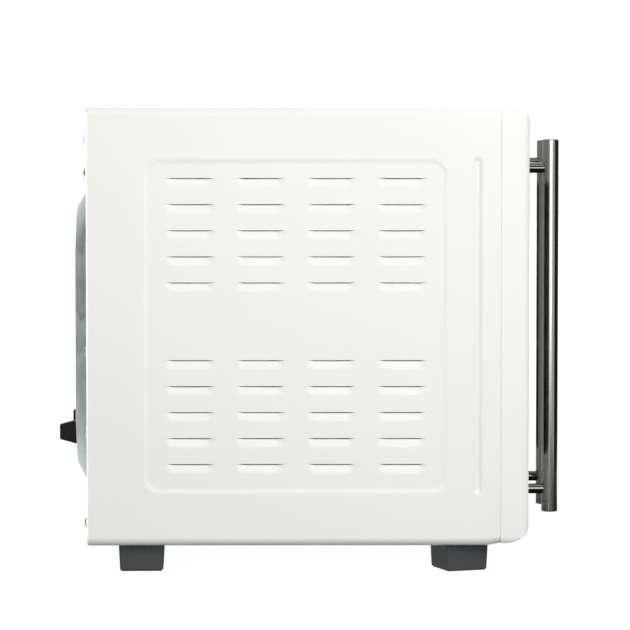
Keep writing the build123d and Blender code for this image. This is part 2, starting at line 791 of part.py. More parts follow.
# Dials and the mechanisms that they turn, one above the other
mechanisms = [("temperature", "thermostat", 38.0), ("mode", "mode_switch", 32.0),
              ("timer", "timer", 44.0)]
for (dial, mechanism, size), height in zip(mechanisms, dial_heights):
    box_rear = panel_back + shaft_in_box + size / 4
    with BuildPart() as mechanism_box:
        block((dial_x - size / 2, dial_x + size / 2), (panel_back, box_rear),
              (height - size / 2, height + size / 2))
        fillet(mechanism_box.edges().filter_by(Axis.Y), size / 10)
        round_y(dial_x, height, neck_radius, (panel_face, panel_back))
        round_y(dial_x, height, shaft_radius + shaft_fit,
                (panel_face, panel_back + shaft_in_box + end_gap), Mode.SUBTRACT)
        for side in (-1, 1):
            tab_x = dial_x + side * size / 4
            block((tab_x - tab_width / 2, tab_x + tab_width / 2),
                  (box_rear, box_rear + tab_length), (height - sheet / 2, height + sheet / 2))
    save(mechanism_box, mechanism)

    knob_back = panel_face - knob_gap
    with BuildPart() as knob:
        round_y(dial_x, height, knob_radius, (knob_back - knob_skirt, knob_back))
        round_y(dial_x, height, knob_grip_radius, (-knob_reach, knob_back - knob_skirt))
        chamfer(knob.edges().group_by(Axis.Y)[0], knob_bevel)
        block((dial_x - mark_width / 2, dial_x + mark_width / 2),
              (-knob_reach, mark_depth - knob_reach),
              (height + knob_grip_radius - knob_bevel - mark_length,
               height + knob_grip_radius), Mode.SUBTRACT)
        round_y(dial_x, height, shaft_radius + pin_fit, (knob_back - shaft_in_knob, knob_back),
                Mode.SUBTRACT)
    save(knob, f"{dial}_knob")

    with BuildPart() as shaft:
        round_y(dial_x, height, shaft_radius,
                (knob_back - shaft_in_knob, panel_back + shaft_in_box))
    save(shaft, f"{dial}_shaft")


# Cavity side walls with pressed shelf rails, flanged against the front frame
def cavity_side(inner, outward, holes):
    """One cavity side wall; outward is -1 for the left wall and 1 for the right one."""
    outer = inner + outward * sheet
    wall_x = (min(inner, outer), max(inner, outer))
    block(wall_x, (frame_depth, cavity_back), (cavity_bottom, cavity_top))
    flange = outer + outward * cavity_flange
    block((min(outer, flange), max(outer, flange)), (frame_depth, frame_depth + sheet),
          (cavity_bottom, cavity_top))
    rail_s = (frame_depth + rail_margin, cavity_back - rail_margin)
    for height in rail_heights:
        crest = inner - outward * rail_reach
        half_crest = rail_half / 2
        for base, top, grow, mode in ((inner, crest, 0.0, Mode.ADD),
                                      (outer, crest + outward * sheet, -sheet / 2,
                                       Mode.SUBTRACT)):
            with BuildSketch(Plane.XZ.offset(-y_at(rail_s[0] - grow))) as rail:
                with BuildLine():
                    Polyline((base, height - rail_half - grow), (top, height - half_crest - grow),
                             (top, height + rail_half + grow), (base, height + rail_half + grow),
                             close=True)
                make_face()
            extrude(rail.sketch, amount=rail_s[0] - rail_s[1] - 2 * grow, mode=mode)
    for heater_z in (upper_heater_height, lower_heater_height):
        for place in range(2):
            round_x(heater_first + place * heater_pitch, heater_z, insulator_radius + fit_gap,
                    wall_x, Mode.SUBTRACT)
    for s, z, radius in holes:
        round_x(s, z, radius, wall_x, Mode.SUBTRACT)


with BuildPart() as cavity_left_wall:
    cavity_side(cavity_left, -1, [])
save(cavity_left_wall, "cavity_left_wall")

with BuildPart() as cavity_right_wall:
    cavity_side(cavity_right, 1, [(cavity_lamp_depth, cavity_lamp_height, lamp_hole)])
save(cavity_right_wall, "cavity_right_wall")

# Cavity roof and floor, flanged against the front frame
cavity_outer = (cavity_left - sheet, cavity_right + sheet)
with BuildPart() as cavity_roof:
    block(cavity_outer, (frame_depth, cavity_back), (cavity_top, cavity_top + sheet))
    block(cavity_outer, (frame_depth, frame_depth + sheet),
          (cavity_top + sheet, cavity_top + cavity_flange))
save(cavity_roof, "cavity_roof")

with BuildPart() as cavity_floor:
    block(cavity_outer, (frame_depth, cavity_back), (cavity_bottom - sheet, cavity_bottom))
    block(cavity_outer, (frame_depth, frame_depth + sheet),
          (cavity_bottom - cavity_flange, cavity_bottom - sheet))
save(cavity_floor, "cavity_floor")

# Cavity back wall with a round dish that the fan turns in
with BuildPart() as cavity_back_wall:
    block(cavity_outer, (cavity_back, cavity_back + sheet),
          (cavity_bottom - sheet, cavity_top + sheet))
    for grow, start, mode in ((sheet, sheet, Mode.ADD), (0.0, 0.0, Mode.SUBTRACT)):
        with BuildSketch(Plane.XZ.offset(-y_at(cavity_back + start))) as dish_mouth:
            with Locations((cavity_x, fan_height)):
                Circle(dish_radius + grow)
        with BuildSketch(Plane.XZ.offset(-y_at(dish_back + start))) as dish_floor:
            with Locations((cavity_x, fan_height)):
                Circle(dish_radius + grow - dish_slope)
        loft([dish_mouth.sketch, dish_floor.sketch], mode=mode)
    round_y(cavity_x, fan_height, shaft_radius + shaft_clearance, (dish_back, dish_back + sheet),
            Mode.SUBTRACT)
save(cavity_back_wall, "cavity_back_wall")

# Fan motor on the back of the dish
motor_front = dish_back + sheet
with BuildPart() as fan_motor:
    round_y(cavity_x, fan_height, motor_flange,
            (motor_front, motor_front + motor_flange_thickness))
    round_y(cavity_x, fan_height, motor_radius, (motor_front, motor_front + motor_length))
    fillet(fan_motor.edges().group_by(Axis.Y)[-1], motor_flange_thickness)
    round_y(cavity_x, fan_height, shaft_radius + shaft_fit,
            (motor_front, motor_front + motor_length - motor_flange_thickness), Mode.SUBTRACT)
save(fan_motor, "fan_motor")

# Fan shaft and its blades, which turn together
hub_front = cavity_back + hub_inset
blade_middle = hub_front + hub_length / 2
with BuildPart() as fan_shaft:
    round_y(cavity_x, fan_height, shaft_radius,
            (hub_front, motor_front + motor_length - 2 * motor_flange_thickness))
save(fan_shaft, "fan_shaft")

with BuildPart() as fan_blade:
    round_y(cavity_x, fan_height, hub_radius, (hub_front, hub_front + hub_length))
    for place in range(fan_blades):
        turn = 360.0 * place / fan_blades
        radial = Plane(Location((cavity_x, y_at(blade_middle), fan_height), (0, turn, 0))
                       * Location((hub_radius - blade_root, 0, 0), (blade_tilt, 0, 0))
                       * Location((0, 0, 0), (0, 90, 0)))
        with BuildSketch(radial) as blade_section:
            Rectangle(blade_thickness, blade_width)
        extrude(blade_section.sketch, amount=fan_radius - hub_radius + blade_root)
    round_y(cavity_x, fan_height, shaft_radius + pin_fit, (hub_front, hub_front + hub_length),
            Mode.SUBTRACT)
save(fan_blade, "fan_blade")

# Slotted guard over the dish
with BuildPart() as fan_guard:
    guard_s = (cavity_back - guard_thickness, cavity_back)
    round_y(cavity_x, fan_height, dish_radius + guard_rim, guard_s)
    guard_rings = ((guard_hub, guard_band - guard_bridge / 2, guard_inner_slots),
                   (guard_band + guard_bridge / 2, guard_edge, guard_outer_slots))
    with BuildSketch(Plane.XZ.offset(-y_at(guard_s[0]))) as slots:
        with Locations((cavity_x, fan_height)):
            for inner, outer, count in guard_rings:
                with PolarLocations((inner + outer) / 2, count):
                    SlotOverall(outer - inner, guard_slot_width)
    extrude(slots.sketch, amount=-guard_thickness, mode=Mode.SUBTRACT)
save(fan_guard, "fan_guard")

# Heater rods and the ceramic insulators that hold them in the side walls
heater_ends = (cavity_left - insulator_length - heater_tail,
               cavity_right + insulator_length + heater_tail)
for name, height in (("upper_heaters", upper_heater_height),
                     ("lower_heaters", lower_heater_height)):
    with BuildPart() as heaters:
        for place in range(2):
            round_x(heater_first + place * heater_pitch, height, heater_radius, heater_ends)
    save(heaters, name)

with BuildPart() as heater_insulators:
    for outward, wall_x in ((-1, cavity_left), (1, cavity_right)):
        inner = wall_x - outward * insulator_proud
        seat = wall_x + outward * sheet
        outer = wall_x + outward * insulator_length
        lip = seat + outward * insulator_lip
        for height in (upper_heater_height, lower_heater_height):
            for place in range(2):
                s = heater_first + place * heater_pitch
                round_x(s, height, insulator_radius, (min(inner, outer), max(inner, outer)))
                round_x(s, height, insulator_flange, (min(seat, lip), max(seat, lip)))
                round_x(s, height, heater_radius + insulator_bore,
                        (min(inner, outer), max(inner, outer)), Mode.SUBTRACT)
save(heater_insulators, "heater_insulators")

# Wire rack on the middle shelf rails
rack_z = rail_heights[1] + rail_half + rack_wire
rack_x = (cavity_left + shelf_side_gap + rack_wire, cavity_right - shelf_side_gap - rack_wire)
rack_middle = frame_depth + cavity_depth / 2
rack_s = (rack_middle - rack_length / 2, rack_middle + rack_length / 2)
with BuildPart() as wire_rack:
    for x in rack_x:
        round_y(x, rack_z, rack_wire, (rack_s[0] - rack_wire, rack_s[1] + rack_wire))
    for s in rack_s:
        round_x(s, rack_z, rack_wire, rack_x)
    for place in range(rack_bars):
        x = rack_x[0] + (rack_x[1] - rack_x[0]) * (place + 1) / (rack_bars + 1)
        round_y(x, rack_z + rack_wire - rack_bar, rack_bar, rack_s)
save(wire_rack, "wire_rack")

# Baking tray hung by its rim on the lowest shelf rails
tray_z = rail_heights[0] + rail_half
tray_x = (cavity_left + shelf_side_gap, cavity_right - shelf_side_gap)
tray_s = (rack_middle - tray_length / 2, rack_middle + tray_length / 2)


def tray_level(z, x, s, inset, corner):
    """One outline of the baking tray seen from above."""
    with BuildSketch(Plane.XY.offset(z)) as outline:
        with Locations(((x[0] + x[1]) / 2, y_at((s[0] + s[1]) / 2))):
            RectangleRounded(x[1] - x[0] - 2 * inset, s[1] - s[0] - 2 * inset, corner)
    return outline.sketch


with BuildPart() as baking_tray:
    extrude(tray_level(tray_z, tray_x, tray_s, 0, tray_corner), amount=tray_sheet)
    tray_foot = tray_rim + tray_draft
    loft([tray_level(tray_z - tray_depth, tray_x, tray_s, tray_foot, tray_corner),
          tray_level(tray_z, tray_x, tray_s, tray_rim, tray_corner)])
    loft([tray_level(tray_z - tray_depth + tray_sheet, tray_x, tray_s,
                     tray_foot + tray_sheet, tray_corner),
          tray_level(tray_z + tray_sheet, tray_x, tray_s, tray_rim + tray_sheet, tray_corner)],
         mode=Mode.SUBTRACT)
save(baking_tray, "baking_tray")

# Crumb tray on the cavity floor
crumb_x = (cavity_left + crumb_gap, cavity_right - crumb_gap)
crumb_s = (frame_depth + crumb_gap, cavity_back - crumb_gap)
crumb_z = (cavity_bottom, cavity_bottom + crumb_height)
with BuildPart() as crumb_tray:
    block(crumb_x, crumb_s, crumb_z)
    block((crumb_x[0] + sheet, crumb_x[1] - sheet), (crumb_s[0] + sheet, crumb_s[1] - sheet),
          (crumb_z[0] + sheet, crumb_z[1]), Mode.SUBTRACT)
save(crumb_tray, "crumb_tray")


# Cavity lamp on the right wall: glass inside, bulb and holder outside
def turned_lamp(points):
    """A shape turned about the lamp's axis, from pairs of x offset and radius."""
    with BuildSketch(Plane.XY.offset(cavity_lamp_height)) as half:
        with BuildLine():
            Polyline(*[(cavity_right + x, y_at(cavity_lamp_depth) + r) for x, r in points],
                     close=True)
        make_face()
    lamp_axis = Axis((0, y_at(cavity_lamp_depth), cavity_lamp_height), (1, 0, 0))
    revolve(half.sketch, axis=lamp_axis)


with BuildPart() as lamp_cover:
    glass_lip = lamp_hole + lamp_glass_seat
    glass_inside = lamp_glass_wall - lamp_glass_reach
    turned_lamp([(0, glass_lip), (0, lamp_glass_radius),
                 (-lamp_glass_reach / 2, lamp_glass_radius),
                 (-lamp_glass_reach, lamp_hole), (-lamp_glass_reach, 0),
                 (glass_inside, 0), (glass_inside, lamp_hole - lamp_glass_wall),
                 (-lamp_glass_reach / 2, glass_lip)])
save(lamp_cover, "lamp_cover")

with BuildPart() as lamp_holder:
    holder_rim = lamp_hole + holder_flange
    holder_outer = lamp_hole + holder_wall
    bulb_seat = holder_length - holder_base
    turned_lamp([(sheet, lamp_hole), (sheet, holder_rim), (2 * sheet, holder_rim),
                 (2 * sheet, holder_outer), (holder_length, holder_outer),
                 (holder_length, 0), (bulb_seat, 0), (bulb_seat, lamp_hole)])
save(lamp_holder, "lamp_holder")

with BuildPart() as lamp_bulb:
    bulb_neck = bulb_seat - bulb_cap
    turned_lamp([(bulb_seat, 0), (bulb_seat, bulb_radius / 2),
                 (bulb_neck, bulb_radius / 2), (bulb_neck - bulb_shoulder, bulb_radius),
                 (bulb_shoulder, bulb_radius), (-bulb_shoulder, bulb_radius / 2),
                 (bulb_shoulder - bulb_nose, 0)])
save(lamp_bulb, "lamp_bulb")

# Brackets that carry the cavity on the bottom plate
bracket_top = cavity_bottom - sheet
with BuildPart() as cavity_brackets:
    for x in (cavity_left + bracket_inset, cavity_right - bracket_inset):
        for s in (frame_depth + bracket_front_inset, cavity_back - bracket_inset):
            bracket_s = (s - bracket_length / 2, s + bracket_length / 2)
            block((x, x + bracket_width), bracket_s, (plate_top, plate_top + bracket_sheet))
            block((x, x + bracket_sheet), bracket_s, (plate_top, bracket_top))
            block((x, x + bracket_width), bracket_s, (bracket_top - bracket_sheet, bracket_top))
save(cavity_brackets, "cavity_brackets")

# Heat shield between the cavity and the controls
with BuildPart() as control_heat_shield:
    shield_z = (plate_top, opening_top)
    block((shield_x, shield_x + sheet), (plate_front, cavity_back), shield_z)
    block((shield_x, shield_x + sheet), (frame_depth, plate_front),
          (cavity_bottom, cavity_top))
    block((shield_x - shield_flange, shield_x), (frame_depth, frame_depth + sheet),
          (cavity_bottom, cavity_top))
save(control_heat_shield, "control_heat_shield")

# Terminal block on the bottom plate
with BuildPart() as terminal_block:
    terminal_s = cover_rear - terminal_inset
    terminal_top = plate_top + terminal_height
    block((gland_x - terminal_length / 2, gland_x + terminal_length / 2),
          (terminal_s, terminal_s + terminal_width), (plate_top, terminal_top))
    for place in (-1, 0, 1):
        round_z(gland_x + place * terminal_length / 3, terminal_s + terminal_width / 2,
                terminal_hole, (terminal_top - terminal_height / 2, terminal_top),
                Mode.SUBTRACT)
save(terminal_block, "terminal_block")

# Cord gland through the rear panel
gland_s = (cover_rear - gland_nut_thickness, rear_plane + gland_flange_thickness)
with BuildPart() as cord_gland:
    round_y(gland_x, gland_height, gland_flange, (rear_plane, gland_s[1]))
    round_y(gland_x, gland_height, gland_radius, (cover_rear, rear_plane))
    round_y(gland_x, gland_height, gland_flange, (gland_s[0], cover_rear))
    round_y(gland_x, gland_height, gland_bore, gland_s, Mode.SUBTRACT)
save(cord_gland, "cord_gland")

# Tapered spacers that keep the bulge off a wall
with BuildPart() as wall_spacers:
    for side in (-1, 1):
        x = cavity_x + side * spacer_spread
        sections = []
        for depth, tall in ((bulge_plane, spacer_root), (bulge_plane + spacer_length, spacer_tip)):
            with BuildSketch(Plane.XZ.offset(-y_at(depth))) as section:
                with Locations((x, spacer_height)):
                    RectangleRounded(spacer_width * tall / spacer_root, tall, spacer_corner)
            sections.append(section.sketch)
        loft(sections)
save(wall_spacers, "wall_spacers")


# Feet, drafted blocks turned a little about their screws
def foot_turn(side, depth):
    """The turn of the foot on one side at one depth."""
    return -side * (front_foot_turn if depth == front_foot_depth else rear_foot_turn)


with BuildPart() as feet:
    for x, depth in foot_places:
        turn = foot_turn(1 if x > 0 else -1, depth)
        top = Plane(origin=(x, y_at(depth), plate_bottom), x_dir=(1, 0, 0), z_dir=(0, 0, -1))
        with BuildSketch(top.rotated((0, 0, turn))) as block_outline:
            RectangleRounded(foot_width, foot_length, foot_corner)
        extrude(block_outline.sketch, amount=plate_bottom, taper=foot_draft)
    chamfer(feet.edges().group_by(Axis.Z)[0], foot_bevel)
    for x, depth in foot_places:
        round_z(x, depth, foot_screw_radius + pin_fit,
                (plate_bottom - foot_screw_depth - end_gap, plate_bottom), Mode.SUBTRACT)
save(feet, "feet")

with BuildPart() as foot_screws:
    for x, depth in foot_places:
        round_z(x, depth, foot_screw_radius, (plate_bottom - foot_screw_depth, plate_top))
        round_z(x, depth, foot_head_radius, (plate_top, plate_top + foot_head_height))
save(foot_screws, "foot_screws")
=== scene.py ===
import json
import math

import bmesh
import bpy
from bpy.props import FloatProperty, FloatVectorProperty, IntProperty, PointerProperty
from mathutils import Matrix, Vector


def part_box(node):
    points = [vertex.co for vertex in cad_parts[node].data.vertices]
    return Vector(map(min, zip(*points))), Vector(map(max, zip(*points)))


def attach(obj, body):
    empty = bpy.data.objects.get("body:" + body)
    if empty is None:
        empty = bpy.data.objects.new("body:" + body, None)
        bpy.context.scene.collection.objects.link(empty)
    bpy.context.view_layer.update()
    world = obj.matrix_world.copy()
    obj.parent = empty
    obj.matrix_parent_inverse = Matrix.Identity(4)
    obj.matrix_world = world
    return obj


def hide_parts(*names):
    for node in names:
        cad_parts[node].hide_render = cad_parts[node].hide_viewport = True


bl_info = {
    "name": "Mini Oven",
    "version": (1, 0, 0),
    "blender": (4, 5, 0),
    "location": "View3D > Sidebar > Oven",
    "description": "Finishes the packed model of a countertop oven with two side-hinged doors",
    "category": "Object",
}

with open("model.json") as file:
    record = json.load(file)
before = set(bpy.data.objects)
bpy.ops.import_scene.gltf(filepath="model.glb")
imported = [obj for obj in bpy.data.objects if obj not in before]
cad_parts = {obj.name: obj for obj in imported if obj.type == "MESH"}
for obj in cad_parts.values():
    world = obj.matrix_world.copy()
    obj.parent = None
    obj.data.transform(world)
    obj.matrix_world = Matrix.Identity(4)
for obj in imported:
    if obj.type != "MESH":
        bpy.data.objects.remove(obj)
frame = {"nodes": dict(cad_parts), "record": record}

# Names and places that every piece shares
NODES = frame["nodes"]
SLOTS = {part["node"]: part["material_slot"] for part in frame["record"]["subparts"]}
BODIES = {node: body for body, members in frame["record"]["behaviour"]["bodies"].items()
          for node in members}
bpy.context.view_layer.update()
COVER_LOW, COVER_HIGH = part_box("outer_cover")
FRONT_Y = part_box("front_frame")[0].y
COVER_FRONT, COVER_REAR = COVER_LOW.y - FRONT_Y, COVER_HIGH.y - FRONT_Y
DIALS = ("temperature", "mode", "timer")
DOORS = ("left", "right")
MM = 0.001
TINY = 0.01 * MM


def colour_property(name, description, default):
    """A colour that a user can change, as linear red, green and blue."""
    return FloatVectorProperty(name=name, description=description, default=default,
                               subtype="COLOR", size=3, min=0.0, max=1.0)


def size_property(name, description, millimetres):
    """A length that a user can change."""
    return FloatProperty(name=name, description=description, default=millimetres * MM,
                         unit="LENGTH", min=0.0, precision=4)


def power_property(name, description, watts):
    """The power of a lamp that a user can change."""
    return FloatProperty(name=name, description=description, default=watts, min=0.0,
                         subtype="POWER")


class OvenFinishes(bpy.types.PropertyGroup):
    """Colours of the oven's finishes"""

    paint: colour_property("Paint", "Painted cover", (0.86, 0.865, 0.825))
    moulding: colour_property("Moulding", "Front frame and doors", (0.87, 0.872, 0.835))
    galvanised: colour_property("Galvanised", "Rear panel and base", (0.60, 0.71, 0.695))
    panel: colour_property("Panel", "Control panel", (0.60, 0.60, 0.585))
    cavity: colour_property("Cavity", "Inside walls", (0.50, 0.50, 0.48))
    stainless: colour_property("Stainless", "Door handles", (0.27, 0.266, 0.254))
    plastic: colour_property("Black plastic", "Knobs and spacers", (0.008, 0.008, 0.009))
    foot: colour_property("Feet", "Moulded feet", (0.066, 0.074, 0.078))
    glass: colour_property("Glass", "Tint of the door windows", (0.42, 0.41, 0.40))
    enamel: colour_property("Enamel", "Baking tray", (0.012, 0.012, 0.013))
    mark: colour_property("Marks", "Printed dial marks", (0.03, 0.03, 0.03))


class OvenCoverSizes(bpy.types.PropertyGroup):
    """Pressings of the painted cover"""

    bend: size_property("Bend", "Radius of the long bends", 7.0)
    sheet: size_property("Sheet", "Thickness of the sheet", 0.8)
    bottom_return: size_property("Bottom return", "Width turned in underneath", 12.0)
    rear_return: size_property("Rear return", "Width turned in at the rear", 6.0)
    toe_rise: size_property("Toe rise", "Rise of the bottom edge at the front", 2.1)
    toe_length: size_property("Toe length", "Length of the rising edge", 10.5)
    press_depth: size_property("Press depth", "Depth of the field", 0.45)
    groove_depth: size_property("Groove depth", "Depth of the groove", 0.9)
    press_slope: size_property("Press slope", "Width of the field's sloping edge", 3.8)
    field_front: size_property("Field front", "Depth where the field starts", 66.9)
    field_length: size_property("Field length", "Length of the field", 249.6)
    field_bottom: size_property("Field bottom", "Height of the field's lower edge", 66.7)
    field_height: size_property("Field height", "Height of the field", 274.3)
    field_corner: size_property("Field corner", "Radius of the field's corners", 13.0)
    groove_front: size_property("Groove front", "Depth where the groove starts", 38.0)
    groove_width: size_property("Groove width", "Width of the groove", 9.0)
    groove_below: size_property("Groove below", "Groove past the field below", 1.0)
    groove_above: size_property("Groove above", "Groove past the field above", 1.5)
    louvre_length: size_property("Louvre length", "Length of one louvre", 41.5)
    louvre_height: size_property("Louvre height", "Height of one louvre", 8.0)
    louvre_depth: size_property("Louvre depth", "Depth of one louvre", 1.1)
    louvre_slope: size_property("Louvre slope", "Width of a louvre's sloping edge", 8.0)
    slit: size_property("Slit", "Height of the open slit above a louvre", 0.9)
    slit_fade: size_property("Slit fade", "Height over which the sheet drops", 4.0)
    louvre_first: size_property("First louvre", "Depth of the front column's middle", 104.6)
    louvre_pitch: size_property("Louvre pitch", "Pitch of the columns", 57.7)
    row_pitch: size_property("Row pitch", "Pitch of the rows", 21.35)
    upper_rows: size_property("Upper rows", "Height of the upper block's top row", 325.3)
    lower_rows: size_property("Lower rows", "Height of the lower block's top row", 176.2)
    columns: IntProperty(name="Columns", description="Louvre columns", default=4, min=1)
    rows: IntProperty(name="Rows", description="Louvre rows in each block", default=5, min=1)


class OvenDetailSizes(bpy.types.PropertyGroup):
    """Small details of the front and the rear"""

    bar_radius: size_property("Bar radius", "Radius of a handle bar", 7.0)
    bar_edge: size_property("Bar edge", "Rounding of a bar's ends", 1.0)
    knob_flutes: IntProperty(name="Flutes", description="Flutes round a knob", default=30, min=3)
    flute_depth: size_property("Flute depth", "Depth of a knob's flutes", 0.7)
    tick_length: size_property("Tick length", "Length of a dial tick", 2.6)
    tick_width: size_property("Tick width", "Width of a dial tick", 0.5)
    number_height: size_property("Number height", "Height of the dial numbers", 4.6)
    print_height: size_property("Print height", "Thickness of the printed marks", 0.06)
    recess_width: size_property("Recess width", "Width of a screw's cross recess", 0.9)
    rear_screws: FloatVectorProperty(
        name="Rear screws", description="Heights of the rear panel's screws",
        default=(0.042, 0.116, 0.183, 0.330), size=4, unit="LENGTH")


class OvenStageSizes(bpy.types.PropertyGroup):
    """Camera and studio"""

    camera_place: FloatVectorProperty(
        name="Camera", description="Place of the camera", default=(-2.6615, 0.0164, 0.3273),
        subtype="XYZ", unit="LENGTH", size=3)
    camera_pitch: FloatProperty(name="Pitch", description="How far the camera looks down",
                                default=math.radians(2.696), subtype="ANGLE")
    camera_yaw: FloatProperty(name="Yaw", description="How far the camera turns to the front",
                              default=math.radians(0.439), subtype="ANGLE")
    lens: FloatProperty(name="Lens", description="Focal length", default=169.22, min=1.0,
                        subtype="DISTANCE_CAMERA")
    floor_colour: colour_property("Floor", "Pale floor", (0.86, 0.86, 0.86))
    floor_bounce: FloatProperty(name="Floor bounce", description="Light that the floor returns",
                                default=0.13, min=0.0, max=1.0)
    world_level: FloatProperty(name="World", description="Level of the surrounding light",
                               default=0.26, min=0.0)
    key_power: power_property("Key", "Power of the key light", 9.0)
    near_power: power_property("Near", "Power of the light behind the camera", 54.0)
    front_power: power_property("Front", "Power of the front light", 30.0)
    far_power: power_property("Far", "Power of the light on the right", 22.0)
    rear_power: power_property("Rear", "Power of the rear light", 15.0)


# Building blocks of the finishes
def fill(node, inputs):
    """Plain values, or links from other nodes, on a node's inputs."""
    for name, value in inputs.items():
        if isinstance(value, bpy.types.NodeSocket):
            node.id_data.links.new(value, node.inputs[name])
        else:
            node.inputs[name].default_value = value


def add_node(tree, kind, inputs, **settings):
    """A new node with its settings and its inputs."""
    node = tree.nodes.new(f"ShaderNode{kind}")
    for name, value in settings.items():
        setattr(node, name, value)
    fill(node, inputs)
    return node


def object_place(tree, stretch=(1.0, 1.0, 1.0)):
    """Object coordinates, stretched along an axis where a finish has a direction."""
    place = add_node(tree, "TexCoord", {}).outputs["Object"]
    return add_node(tree, "Mapping", {"Vector": place, "Scale": stretch}).outputs["Vector"]


def new_finish(name, colour, roughness, metallic=0.0, stretch=(1.0, 1.0, 1.0)):
    """The shader of a new material, with plain values on its own sockets, and its place."""
    material = bpy.data.materials.new(name)
    material.use_nodes = True
    shader = material.node_tree.nodes["Principled BSDF"]
    fill(shader, {"Base Color": (*colour, 1.0), "Roughness": roughness, "Metallic": metallic})
    return shader, object_place(material.node_tree, stretch)


def noise(place, per_metre, detail=3.0):
    """Soft noise with a number of features to the metre."""
    inputs = {"Vector": place, "Scale": per_metre, "Detail": detail}
    return add_node(place.id_data, "TexNoise", inputs).outputs["Fac"]


def cells(place, per_metre, output):
    """Cells with a number to the metre."""
    inputs = {"Vector": place, "Scale": per_metre}
    return add_node(place.id_data, "TexVoronoi", inputs).outputs[output]


def spread_to(value, low, high, start=0.0, end=1.0):
    """A value stretched from its own range to another one."""
    inputs = {"Value": value, "From Min": start, "From Max": end, "To Min": low, "To Max": high}
    return add_node(value.id_data, "MapRange", inputs).outputs["Result"]


def combined(operation, *values):
    """The result of a sum that starts with a node's value."""
    return add_node(values[0].id_data, "Math", dict(enumerate(values)),
                    operation=operation).outputs[0]


def between(value, first, second):
    """A colour between two others."""
    factor, colour_a, colour_b, mixed = 0, 6, 7, 2
    inputs = {factor: value, colour_a: (*first, 1.0), colour_b: (*second, 1.0)}
    return add_node(value.id_data, "Mix", inputs, data_type="RGBA").outputs[mixed]


def shaded(colour, share):
    """A colour made lighter or darker by a share."""
    return tuple(min(1.0, channel * share) for channel in colour)


def raised(shader, height, strength, distance):
    """Fine relief on a shader's surface."""
    inputs = {"Height": height, "Strength": strength, "Distance": distance}
    fill(shader, {"Normal": add_node(shader.id_data, "Bump", inputs).outputs["Normal"]})


def varied(shader, value, share, rough_low, rough_high):
    """A shader's colour and roughness, made to vary together with a value."""
    colour = shader.inputs["Base Color"].default_value[:3]
    mixed = between(value, shaded(colour, 1.0 - share), shaded(colour, 1.0 + share))
    fill(shader, {"Base Color": mixed,
                  "Roughness": spread_to(value, rough_low, rough_high, 0.25, 0.75)})


# Finishes, one function each
def powder_coat(name, colour):
    """Satin powder coat with a faint orange peel."""
    shader, place = new_finish(name, colour, 0.4)
    varied(shader, noise(place, 9.0), 0.012, 0.34, 0.44)
    raised(shader, noise(place, 520.0, 2.0), 0.10, 0.00012)
    fill(shader, {"Specular IOR Level": 0.4, "Coat Weight": 0.08, "Coat Roughness": 0.22})


def gloss_moulding(name, colour):
    """Moulded plastic or smooth paint with a soft gloss."""
    shader, place = new_finish(name, colour, 0.3)
    varied(shader, noise(place, 14.0), 0.010, 0.26, 0.34)
    raised(shader, noise(place, 900.0, 2.0), 0.05, 0.00008)


def spangled_zinc(name, colour):
    """Galvanised sheet with dull crystal cells."""
    shader, place = new_finish(name, colour, 0.45, 0.75)
    spangle = spread_to(cells(place, 130.0, "Color"), 0.0, 1.0)
    cloud = spread_to(noise(place, 22.0), 0.0, 0.45)
    varied(shader, combined("MULTIPLY_ADD", spangle, 0.55, cloud), 0.11, 0.38, 0.54)
    raised(shader, spangle, 0.05, 0.00005)


def brushed(name, colour, stretch, roughness, share=1.0):
    """Metal brushed in the direction of the stretch; a share below one paints shade into its
    colour.
    """
    shader, place = new_finish(name, shaded(colour, share), roughness, 1.0, stretch)
    lines = noise(place, 1.0, 5.0)
    varied(shader, lines, 0.09, roughness - 0.07, roughness + 0.09)
    raised(shader, lines, 0.12, 0.00006)


def aluminised(name, colour):
    """Aluminised sheet with soft clouds and faint rolling lines."""
    shader, place = new_finish(name, colour, 0.34, 0.9)
    varied(shader, noise(place, 26.0, 6.0), 0.10, 0.27, 0.44)
    lines = noise(object_place(shader.id_data, (900.0, 30.0, 900.0)), 1.0)
    raised(shader, lines, 0.06, 0.00006)


def bright_metal(name, colour, roughness):
    """Plated metal with a little uneven polish."""
    shader, place = new_finish(name, colour, roughness, 1.0)
    varied(shader, noise(place, 120.0, 4.0), 0.06, roughness * 0.8, roughness * 1.5)


def heat_tinted(name, colour):
    """Dark heater sheath with straw and blue heat tints."""
    shader, place = new_finish(name, colour, 0.5, 0.7)
    straw = (colour[0] * 1.5, colour[1] * 1.15, colour[2] * 0.9)
    blue = (colour[0] * 0.8, colour[1] * 0.9, colour[2] * 1.3)
    cloud = spread_to(noise(place, 32.0, 4.0), 0.0, 1.0, 0.35, 0.65)
    fill(shader, {"Base Color": between(cloud, straw, blue)})
    raised(shader, noise(place, 1500.0), 0.2, 0.0001)


def grained_plastic(name, colour, roughness, per_metre, strength):
    """Moulded plastic with a fine grain."""
    shader, place = new_finish(name, colour, roughness)
    grain = noise(place, per_metre, 4.0)
    varied(shader, grain, 0.28, roughness - 0.08, roughness + 0.10)
    raised(shader, grain, strength, 0.0004)
    fill(shader, {"Specular IOR Level": 0.14})


def fired_ceramic(name, colour):
    """Matt ceramic with fine pores."""
    shader, place = new_finish(name, colour, 0.7)
    varied(shader, noise(place, 180.0, 4.0), 0.06, 0.6, 0.8)
    raised(shader, noise(place, 2500.0), 0.3, 0.0001)


def speckled_enamel(name, colour):
    """Vitreous enamel with tiny pale specks."""
    shader, place = new_finish(name, colour, 0.16)
    specks = spread_to(cells(place, 420.0, "Distance"), 1.0, 0.0, 0.10, 0.22)
    raised(shader, noise(place, 260.0), 0.08, 0.0002)
    fill(shader, {"Base Color": between(specks, colour, (0.42, 0.42, 0.42)),
                  "Coat Weight": 0.6, "Coat Roughness": 0.06})


